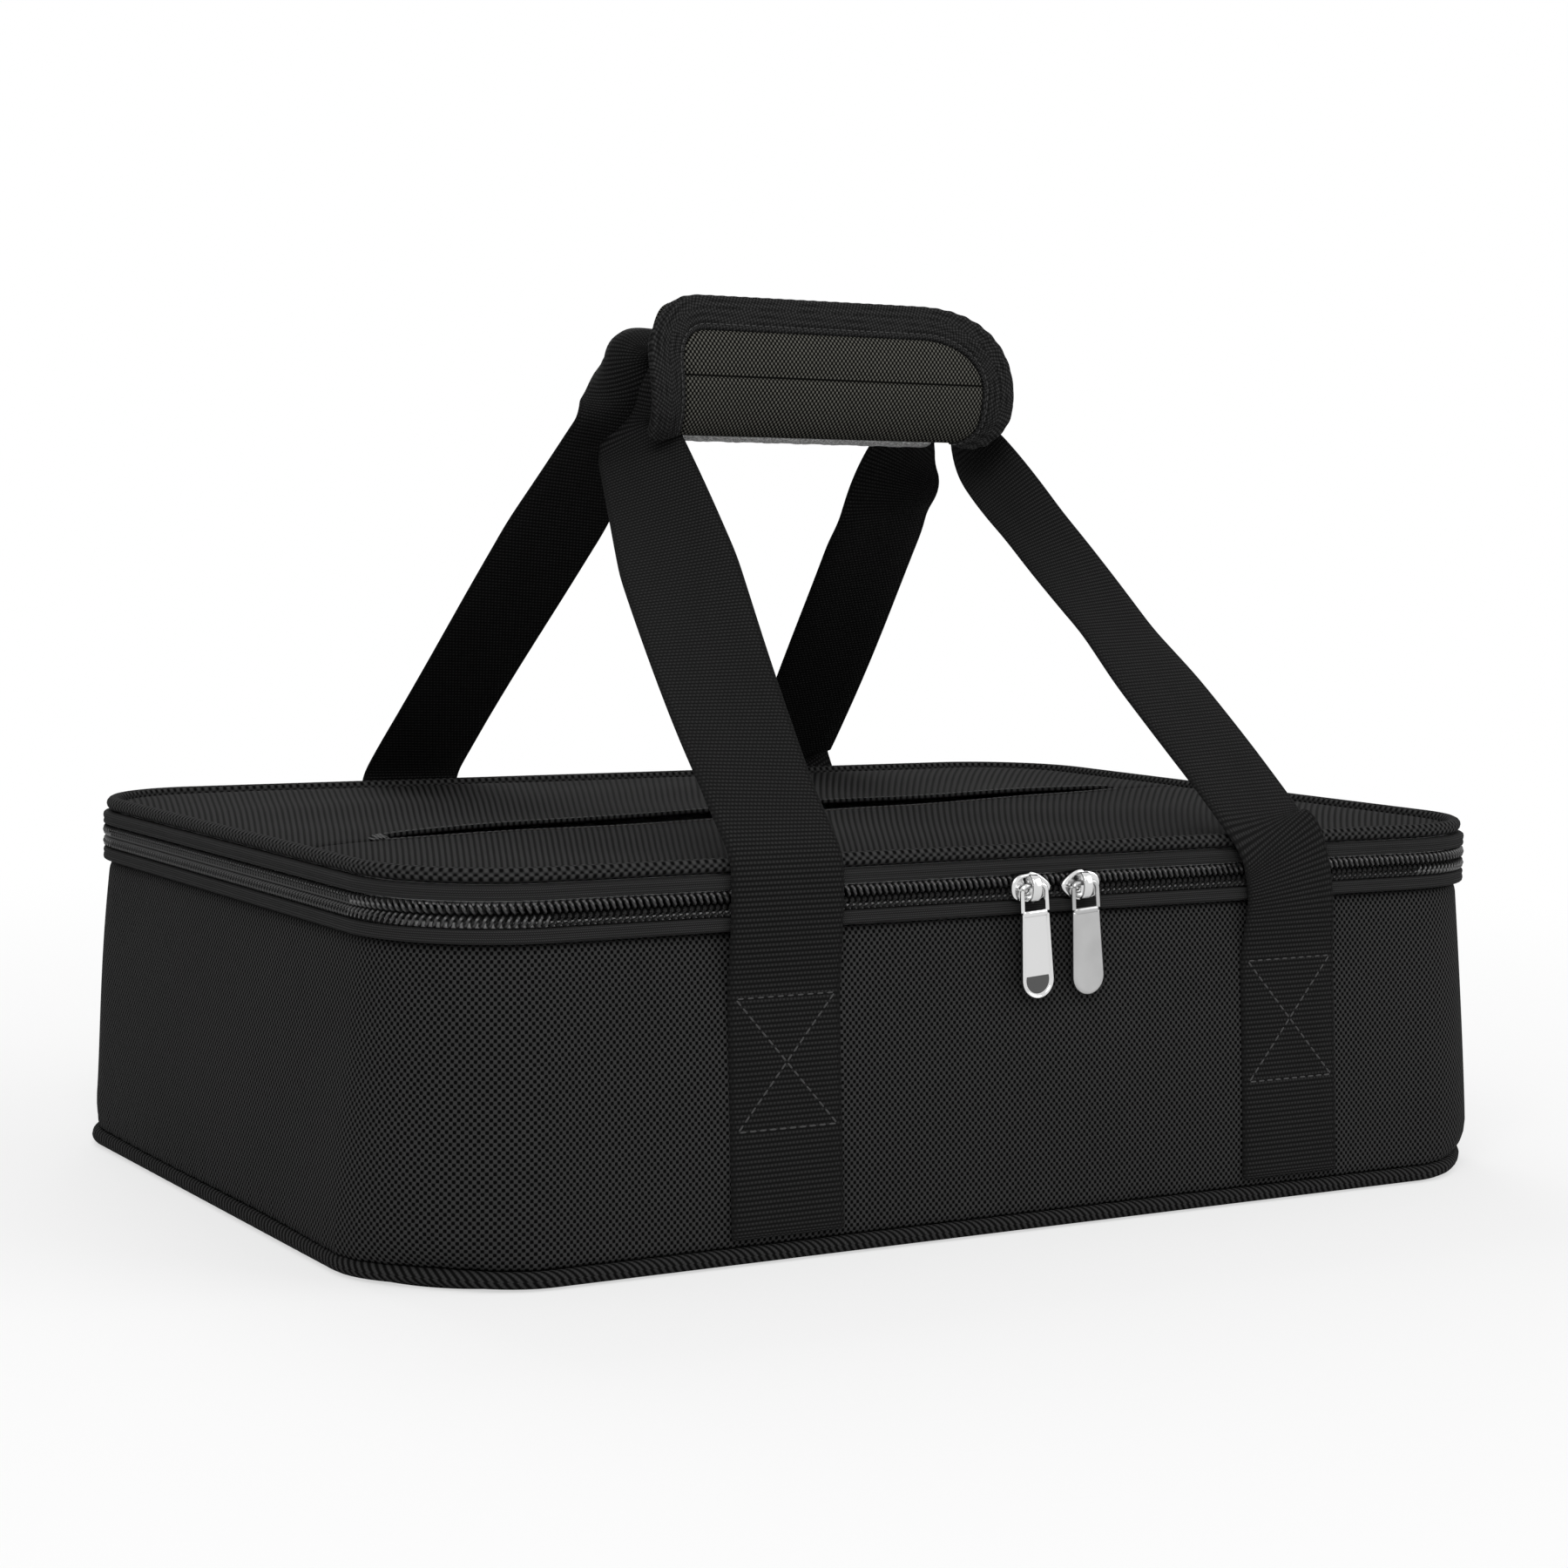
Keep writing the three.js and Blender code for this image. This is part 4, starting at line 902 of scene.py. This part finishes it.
def make_flap_panel():
    """The flap's pad, a closed form: front and back part on a quarter circle from the edge, and a seam is
    drawn in across the front. Cloth simulation then swells the front between the binding and the seam."""
    under, beyond = 0.8, 0.6
    left, right = FLAP_LEFT + BINDING - under, FLAP_RIGHT - BINDING + under

    def from_edge(x, climb):
        low, high = window_span(x)
        return np.minimum(np.minimum(climb - low, high - climb) + beyond, np.minimum(x - left, right - x))

    share = np.linspace(0, 1, 65)
    x = (left + (right - left) * (share - 0.25 * np.sin(2 * TURN * share) / TURN))[:, None]
    low, high = window_span(x)
    rise = (1 - np.cos(np.linspace(0, math.pi, 33))) / 2
    climb = low - beyond + (high - low + 2 * beyond) * rise
    inset = from_edge(x, climb)
    edge = np.sqrt(1 - (1 - ease(inset / 3.0)) ** 2)
    seam = np.exp(-((climb - SEAM_CLIMB) / 0.9) ** 2)
    front = 1.7 + 1.9 * edge + 0.4 * (1 - np.exp(-inset / 7)) - 0.6 * seam * edge
    back = 1.7 - 1.35 * edge
    grids = [(on_flap(x, climb, front), spot(x, climb)), (on_flap(x, climb, back), spot(x, climb + 500.0))]
    # The panel's cloth has a thin line of painted shade along the seam at SEAM_CLIMB.
    piece = make("grip_panel", grids, grip_weave("grip_panel_cloth", seam=SEAM_CLIMB))
    puff(piece, lambda x, climb: (from_edge(x, climb) > 2.0) & (np.abs(climb - SEAM_CLIMB) > 1.5), 1.2)
    fit_flap(piece, "grip_flap_panel")


def puff(piece, free, cap):
    """Swells a closed form as cloth under pressure, without gravity, for 20 frames. Only the points that
    are free by their place on the map move, and none goes further than cap."""
    mesh, scene = piece.data, bpy.context.scene
    rest = read(mesh.vertices, "co", 3)
    place = np.empty((len(rest), 2))
    place[read(mesh.loops, "vertex_index", 1, np.int32)[:, 0]] = read(mesh.uv_layers[0].data, "uv", 2)
    held = piece.vertex_groups.new(name="held")
    held.add(np.flatnonzero(~free(*place.T)).tolist(), 1.0, "REPLACE")
    cloth = piece.modifiers.new("cloth", "CLOTH")
    cloth.settings.vertex_group_mass = "held"
    cloth.settings.use_pressure = True
    cloth.settings.uniform_pressure_force = 4.0
    cloth.settings.effector_weights.gravity = 0.0
    for moment in range(1, 21):
        scene.frame_set(moment)
    swollen = piece.evaluated_get(bpy.context.evaluated_depsgraph_get()).to_mesh()
    way = read(swollen.vertices, "co", 3) - rest
    piece.modifiers.remove(cloth)
    piece.vertex_groups.remove(held)
    scene.frame_set(1)
    far = np.maximum(np.linalg.norm(way, axis=1, keepdims=True), 1e-9)
    mesh.vertices.foreach_set("co", (rest + way * np.minimum(1, cap * MM / far)).reshape(-1))
    mesh.update()


def along_roll(short, insets, inner, pitch):
    """Places along the roll that keep short of both ends: close together there, and even between them."""
    left, right, insets = ROLL_LEFT + short, ROLL_RIGHT - short, np.array(insets)
    even = steps(left + inner, right - inner, pitch)
    return np.concatenate([left + insets, even, right - insets[::-1]])[:, None]


def from_ends(x):
    return np.minimum(x - ROLL_LEFT, ROLL_RIGHT - x)


def make_roll_cover():
    """The roll's cloth cover, open behind for the straps."""
    x, share = along_roll(0.0, (0, 0.3, 1.0), 3.0, 3.0), np.linspace(0.018, 0.982, 70)
    turned_in = -0.8 * ease(1 - from_ends(x)) ** 2
    uneven = 0.25 * (swell(x, share * GRIP_GIRTH, 3, (25, 60), 0.4) - 0.4)
    sheet = spot(x, *wrap(share, turned_in + uneven - 0.05)), spot(x, share * GRIP_GIRTH)
    cover = make("roll_cover", [sheet], GRIP_CLOTH, shell=(2, 0, GRIP_MIDDLE))
    thicken(cover, 1.2)
    fit(cover, "front_handle", "grip_cover")


def make_roll_pad():
    """The roll's foam, open behind down to a slot for the straps, with its ends drawn in a little."""
    short, low, high, front = 1.5, RUN_HEIGHT - 2.8, RUN_HEIGHT + 4.9, -9.3
    outside = spot(*wrap(np.linspace(0.03, 0.97, 60), -1.9))
    loop = np.concatenate([outside, [[front, low], [front, high]], outside[:1]])
    x, middle = along_roll(short, (0, 0.35, 1.2), 4.0, 6.0), np.array([0.0, GRIP_MIDDLE])
    size = 1 - 0.05 * (1 - ease((from_ends(x) - short) / 1.2)) ** 2
    section = middle + (loop - middle) * size[..., None]
    uv = spot(x, np.linspace(0, GRIP_GIRTH, len(loop)))
    pad = make("roll_pad", [(spot(x, section[..., 0], section[..., 1]), uv)], DARK_FOAM)
    close_ends(pad)
    fit(pad, "front_handle", "grip_pad")


def close_ends(piece):
    """Fills the open rims of a tube with flat faces."""
    work = bmesh.new()
    work.from_mesh(piece.data)
    bmesh.ops.holes_fill(work, edges=[edge for edge in work.edges if edge.is_boundary])
    bmesh.ops.recalc_face_normals(work, faces=work.faces)
    work.to_mesh(piece.data)
    work.free()


def make_hook_strip():
    """Light grey fuzzy tape along the roll's lower front: a thick band on the wrap's section."""
    x, count = along_roll(0.0, (0, 0.4), 1.0, 1.0), 16
    share = np.linspace(0.655, 0.76, count)
    share = np.concatenate([share, share[::-1], share[:1]])
    outside = np.repeat([True, False, True], [count, count, 1])
    ragged = 0.12 * np.cos(x * 2.9 + 3 * np.cos(x * 1.7))
    height = np.where(outside, 2.0 - 0.5 * (1 - ease(from_ends(x))) + ragged, 0.35)
    points = spot(x, *wrap(share, height))
    strip = make("hook_strip", capped(points, spot(x, share * GRIP_GIRTH)), HOOK_CLOTH)
    fit(strip, "front_handle", "grip_hook_strip")


# Sliders and pulls, facing -Y; ZIP_OUT is the slider's back and BAR the pull's turning line

ZIP_OUT, PLATE = -(CASE_WIDTH / 2 + 2.7), 1.8
BAR_Y, BAR_UP = ZIP_OUT - PLATE - 1.35, ZIP_SPLIT + 0.9
TAB_TOP_HALF, TAB_FOOT_HALF, TAB_DEEP, PULL_LENGTH = 4.85, 5.6, 0.7, 34.5
PULL_TILT = math.radians(4)
TAB_FACES = {
    "left": ((0, 0.3), (0.25, 0), (0.75, 0), (1.0, 0.25), (1.15, 0.5), (3.0, 0.55), (30, 0.55)),
    "right": ((0, 0.55), (0.3, 0.2), (0.8, 0), (1.2, 0), (30, 0)),
}


def pebble(outline, middle, rows):
    """A flat metal form with shaped edges, facing -Y: each row is the outline drawn in towards its middle
    by a distance, at a depth. The middle is one point, or one for each of the outline. The rows run from
    the middle of the back round the edge to the middle of the front."""
    away = outline - middle
    inset, depth = np.array(rows, float).T[..., None]
    size = above(1 - inset / np.linalg.norm(away, axis=1))
    flat = middle + away * size[..., None]
    return spot(flat[..., 0], depth, flat[..., 1]), flat


def flat_bar(path, width, half_width, half_thick):
    """A bar of rounded oblong section along a path, with its ends drawn together."""
    normal = unit(np.cross(unit(np.gradient(path, axis=0)), width))
    turn = full_turn(16)
    across, through = (part[:, None] for part in oblong(turn, 0.5))
    size = np.ones((len(path), 1, 1))
    size[0] = size[-1] = 0
    section = width * half_width * across + normal[:, None] * half_thick * through
    return path[:, None] + size * section, spot(np.arange(len(path))[:, None], turn)


def make_slider(side, x, nose):
    """Slider: a shield-shaped plate with a rounded rim, and an arched bridge over it."""
    turn = full_turn(56)
    along, front = np.cos(turn), ZIP_OUT - PLATE
    blunt = (1 - 0.22 * ease(along) ** 1.5) * (1 + 0.1 * np.cos(2 * turn) * (along < 0))
    sideways = nose * 7.0 * along * (1 + 0.04 * np.cos(3 * turn))
    outline = spot(x + sideways, ZIP_SPLIT + 4.8 * np.sin(turn) * blunt)
    rows = [(9.9, ZIP_OUT), (0.5, ZIP_OUT), (0.1, ZIP_OUT - 0.2), (0, ZIP_OUT - 0.6), (0.05, front + 0.45),
            (0.35, front + 0.12), (0.8, front), (1.4, front + 0.12), (3, front + 0.02), (9.9, front - 0.15)]
    plate = pebble(outline, np.array([x, ZIP_SPLIT]), rows)
    arch = np.linspace(0, math.pi, 21)
    path = spot(x, front + 0.3 - 3.5 * np.sin(arch) ** 0.6, ZIP_SPLIT + 3.6 * np.cos(arch))
    bridge = flat_bar(path, np.array([1.0, 0, 0]), 1.55, 0.6)
    fit(make(f"slider_{side}_plate", [plate, bridge], CHROME), f"slider_{side}", f"slider_{side}")


def tab_outline(x, top, foot):
    """Tab seen from the front: sides that widen evenly downwards, a half round foot, small top corners."""
    turn, rise = np.linspace(math.pi, TURN, 25), np.linspace(0, 1, 14)[1:]
    low = foot + TAB_FOOT_HALF
    bottom = spot(TAB_FOOT_HALF * np.cos(turn), low + TAB_FOOT_HALF * np.sin(turn))
    side = spot(TAB_FOOT_HALF + rise * (TAB_TOP_HALF - TAB_FOOT_HALF), low + rise * (top - low - 0.5))
    right = np.concatenate([side, [[TAB_TOP_HALF - 0.15, top - 0.15], [TAB_TOP_HALF - 0.5, top]]])
    return np.concatenate([bottom, right, right[::-1] * [-1, 1], bottom[:1]]) + [x, 0]


def make_pull(side, x):
    """Pull: a wire loop through the bridge, a cross ridge, and a tab, tilted a little. The left tab has a
    raised rim round a sunk face, and the right one a flat face with bevelled edges."""
    half, wide, tall, head = 4.3, 1.6, 2.2, BAR_UP - 8.3
    foot, back, front = BAR_UP + 0.7 - PULL_LENGTH, BAR_Y + TAB_DEEP, BAR_Y - TAB_DEEP
    corner = np.linspace(0, math.pi / 2, 7)
    flat = np.concatenate([
        [[-half - 0.1, head + 0.1]],
        spot(-half + wide - wide * np.cos(corner), BAR_UP - tall + tall * np.sin(corner)),
        spot(half - wide + wide * np.sin(corner), BAR_UP - tall + tall * np.cos(corner)),
        [[half + 0.1, head + 0.1]]])
    path = spot(x + flat[:, 0], BAR_Y, flat[:, 1])
    walked = walk(path)
    loop = tube(at(steps(0, walked[-1], 0.5), walked, path), 0.75, 12)
    ridge = flat_bar(spot(x + np.linspace(-5.0, 5.0, 9), BAR_Y, head), np.array([0, 0, 1.0]), 0.95, 0.95)
    outline = tab_outline(x, head, foot)
    middle = spot(x, np.clip(outline[:, 1], foot + TAB_FOOT_HALF, head - 4.5))
    rows = [(30, back), (0.4, back), (0, back - 0.4)]
    rows += [(inset, front + sunk) for inset, sunk in TAB_FACES[side]]
    grids = [loop, ridge, pebble(outline, middle, rows)]
    cos, sin = math.cos(PULL_TILT), math.sin(PULL_TILT)
    for points, _ in grids:
        across, up = points[..., 0] - x, points[..., 2] - BAR_UP
        points[..., 0], points[..., 2] = x + across * cos - up * sin, BAR_UP + across * sin + up * cos
    # The left tab's chrome carries a painted reflection: dark colour at the foot of its sunk face.
    metal = chrome_with_painted_reflection(x, foot + TAB_FOOT_HALF) if side == "left" else SATIN
    fit(make(f"pull_{side}_tab", grids, metal), f"pull_{side}", f"pull_{side}")


# Inside and behind

def make_hinge_cloth():
    """The cloth hinge behind: one strip over both strips of the frame, creased at the parting."""
    x = steps(-HINGE_HALF + 0.2, HINGE_HALF - 0.2, 5.0)[:, None]
    up = steps(HINGE_FOOT, HINGE_TOP, 0.7)
    out = CASE_WIDTH / 2 + 2.2 - 0.7 * np.exp(-((up - ZIP_SPLIT) / 1.1) ** 2)
    up_loop = np.concatenate([up, up[::-1], up[:1]])
    out_loop = np.concatenate([out, np.full_like(up, CASE_WIDTH / 2 - 1.2), out[:1]])
    wave = 0.12 * np.cos(x / 9) * (out_loop > CASE_WIDTH / 2)
    piece = make("hinge_cloth", capped(spot(x, out_loop + wave, up_loop), spot(x, up_loop)), OXFORD)
    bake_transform(piece)
    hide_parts("base_hinge_strip", "lid_hinge_strip")


def closed_plan(out, foot, thickness):
    """A thin plate over the whole plan, from the middle of its underside round the edge to the middle of
    its top: loops of the outline drawn towards the middle."""
    share = np.linspace(0, 1, 24)
    flat = around(ROUND, out, 0.0)[:, 0, :2] * np.concatenate([share, share[::-1]])[:, None, None]
    up = np.repeat([foot, foot + thickness], len(share))[:, None]
    return spot(flat[..., 0], flat[..., 1], up)


def make_underside():
    """Cloth under the board, up to the foot cord."""
    points = closed_plan(flare(WALL_FOOT) - CLOTH / 2 - 3.8, 0.1, 1.3)
    piece = make("underside_cloth", [(points, points[..., :2])], OXFORD)
    fit(piece, "base", "base_bottom_fabric")


def make_lid_lining():
    """Silver lining under the lid's foam, with an uneven underside."""
    points = closed_plan(-1.9, 104.25, 0.9)
    x, y, up = (points[..., k] for k in range(3))
    up += (up < 105) * 0.25 * (1 + swell(x, y, 21, (18, 60), 0.8))
    piece = make("lid_lining_foil", [(points, points[..., :2])], FOIL)
    fit(piece, "lid", "lid_lining")


def make_base_lining():
    """Silver lining of the case: the walls go down to a small round and on over the floor to its middle."""
    radius, count = 4.5, 26
    turn, share = np.linspace(0, math.pi / 2, 7)[1:], np.linspace(1, 0, 30)[1:]
    low = LINING_FLOOR + radius
    out = np.concatenate([np.full(count, LINING_FACE), LINING_FACE - radius * (1 - np.cos(turn))])
    up = np.concatenate([np.linspace(LINING_TOP, low, count), low - radius * np.sin(turn)])
    plan = around(ROUND, 0.0, 0.0)
    creases = swell(plan[..., 0] * 0.7, plan[..., 1] * 0.7 + up * 2, 8, (14, 45), 0.22)
    wall = around(ROUND, out - 0.3 + creases * ease((99 - up) / 8), up)
    x, y = (wall[:, -1:, k] * share for k in (0, 1))
    rise = 0.15 * (1 + swell(x, y, 9, (20, 60), 0.6)) * np.sin(math.pi * share)
    points = np.concatenate([wall, spot(x, y, LINING_FLOOR + rise)], 1)
    uv = spot(ROUND, np.linspace(0, 260, points.shape[1]))
    piece = make("base_lining_foil", [(points, uv)], FOIL, shell=(0, 0, -900))
    thicken(piece, 0.6)
    fit(piece, "base", "base_lining")


def make_rim_binding():
    """Bound upper edge of the padded wall: tape over the foam, a half round profile on a flat foot."""
    across, rise = oblong(np.linspace(0, math.pi, 13), 0.7)
    out = np.concatenate([-4.9 + 3.1 * across, [-8.0, -1.8, -1.8]])
    up = np.concatenate([100.5 + 1.55 * rise, [100.25, 100.25, 100.5]])
    uv = spot(ROUND, np.linspace(0, 14, len(out)))
    fit(make("rim_tape", [(around(ROUND, out, up), uv)], TAPE), "base", "base_rim_binding")


make_side_cloth()
make_foot_cord()
make_zip_tape("lower_tape", "base", "lower_zip_tape", LOWER_TAPE, 1)
make_zip_tape("upper_tape", "lid", "upper_zip_tape", UPPER_TAPE, -1)
make_coil("lower_coil", "base", "lower_zip_coil", LOWER_COIL, 1)
make_coil("upper_coil", "lid", "upper_zip_coil", UPPER_COIL, -1)
make_lid_cord()
make_lid_panel("lid_front_cloth", "lid_front_panel", -1)
make_lid_panel("lid_rear_cloth", "lid_rear_panel", 1)
make_pocket_cloth()
make_slit_seams()
make_strap("front_strap", FRONT,
           {"run": (-51.0, 0.0, 265.0), "bend": 6.0, "lean": 0.3, "mouth": (-54.0, 2.0, 234.0),
            "facing": ((135, 185, 234, 254), (0, 30, 55, 90)), "wide": ((195, 234), (37, 28))},
           {"run": (70.0, 2.0, 266.8), "bend": 7.8, "lean": 0.1, "mouth": (79.5, 4.0, 233.0), "turn": -1,
            "facing": ((175, 233, 250), (0, 75, 90)),
            "wide": ((90, 96, 107, 118, 160, 209), (37, 32.5, 32.5, 34, 34, 22))},
           ["front_left_strap_anchor", "front_right_strap_anchor", "front_left_strap_leg",
            "front_right_strap_leg", "front_handle_webbing"])
make_strap("rear_strap", REAR,
           {"run": (-57.5, 0.0, 269.8), "bend": 8.0, "lean": 0.08, "mouth": (-57.5, 5.0, 243.0), "turn": -1,
            "facing": ((200, 243, 262), (0, 10, 90)), "wide": ((205, 258), (37, 25))},
           {"run": (50.5, 2.0, 263.0), "bend": 4.0, "lean": 0.1, "mouth": (53.5, 7.0, 234.0),
            "facing": ((212, 238), (0, 88)), "wide": ((205, 236), (37, 24))},
           ["rear_left_strap_anchor", "rear_right_strap_anchor", "rear_handle_webbing"])
make_strap_stitches("front_strap_stitches", FRONT)
make_strap_stitches("rear_strap_stitches", REAR)
make_flap_panel()
make_flap_binding()
make_roll_cover()
make_roll_pad()
make_hook_strip()
make_slider("left", LEFT_SLIDER, 1)
make_slider("right", RIGHT_SLIDER, -1)
make_pull("left", LEFT_SLIDER)
make_pull("right", RIGHT_SLIDER)
make_hinge_cloth()
make_underside()
make_base_lining()
make_lid_lining()
make_rim_binding()


# Solids that are shown as they are, each with its finish

NODE_FINISH = {
    "base_stiffener_board": BOARD, "base_wall_foam": FOAM, "base_floor_foam": FOAM, "lid_foam": FOAM,
}
for node, material in NODE_FINISH.items():
    solid = bpy.data.objects[node]
    solid.data.materials.clear()
    solid.data.materials.append(material)


# Camera, floor and light

CAMERA_PLACE = (-0.5378, -0.9073, 0.2095)
CAMERA_TURNS = (30.727, 4.745, 0.781)
CAMERA_LENS = 73.0
LAMPS = (
    ("key_lamp", (-1.6, -2.2, 2.4), 2.2, 60),
    ("fill_lamp", (2.2, -1.8, 1.6), 2.2, 30),
    ("back_lamp", (0.4, 2.4, 2.2), 2.0, 30),
)
FLOOR_HALF, FLOOR_UP = 6000.0, -0.3


def aim_camera():
    """A camera at the photograph's place: turned right from straight ahead, tipped down and rolled."""
    yaw, pitch, roll = (math.radians(turn) for turn in CAMERA_TURNS)
    ahead = np.array([math.sin(yaw) * math.cos(pitch), math.cos(yaw) * math.cos(pitch), -math.sin(pitch)])
    right = np.array([math.cos(yaw), -math.sin(yaw), 0.0])
    over = np.cross(right, ahead)
    across = math.cos(roll) * right + math.sin(roll) * over
    upward = -math.sin(roll) * right + math.cos(roll) * over
    lens = bpy.data.cameras.new("camera")
    lens.lens, lens.sensor_width, lens.sensor_fit = CAMERA_LENS, 36.0, "HORIZONTAL"
    lens.clip_start, lens.clip_end = 0.05, 20.0
    camera = bpy.data.objects.new("camera", lens)
    turned = Matrix([[across[k], upward[k], -ahead[k]] for k in range(3)]).to_4x4()
    camera.matrix_world = Matrix.Translation(CAMERA_PLACE) @ turned
    bpy.context.scene.collection.objects.link(camera)
    bpy.context.scene.camera = camera


def floor_finish():
    """Pale ground. The camera and gloss see it nearly white, and wholly white away from the object, so that
    it keeps the object's shadow and has no edge."""
    finish = Finish("pale_floor", Roughness=0.95, Specular_IOR_Level=0.1)
    finish.colour(grey(0.86))
    x, y, _ = finish.place("Object")
    away = (x * x + y * y).maths("SQRT").step(0.3, 0.9)
    white = finish.node("ShaderNodeEmission", {}, {"Color": (1, 1, 1, 1), "Strength": 1.0})
    finish.show("Material Output", finish.seen() * (0.6 + away * 0.4), finish.shader, white)
    return finish.material


def make_floor():
    edges = np.array([-FLOOR_HALF, FLOOR_HALF])
    points = spot(edges[:, None], edges, FLOOR_UP)
    make("floor", [(points, points[..., :2])], floor_finish(), shell=(0, 0, -500))


def light_scene():
    """A white world, half as bright where neither camera nor gloss sees it, and three square lamps."""
    world = bpy.data.worlds.new("studio")
    bpy.context.scene.world = world
    world.use_nodes = True
    studio = Nodes(world.node_tree)
    dim, bright = (studio.node("ShaderNodeBackground", {}, {"Color": (1, 1, 1, 1), "Strength": strength})
                   for strength in (0.5, 1.0))
    studio.show("World Output", studio.seen(), dim, bright)
    for name, place, size, power in LAMPS:
        lamp = bpy.data.lights.new(name, "AREA")
        lamp.size, lamp.energy = size, power
        holder = bpy.data.objects.new(name, lamp)
        aim = Vector(place) - Vector((0, 0, 0.12))
        holder.matrix_world = Matrix.Translation(place) @ aim.to_track_quat("Z", "Y").to_matrix().to_4x4()
        bpy.context.scene.collection.objects.link(holder)


aim_camera()
make_floor()
light_scene()
bpy.context.scene.view_settings.view_transform = "Standard"
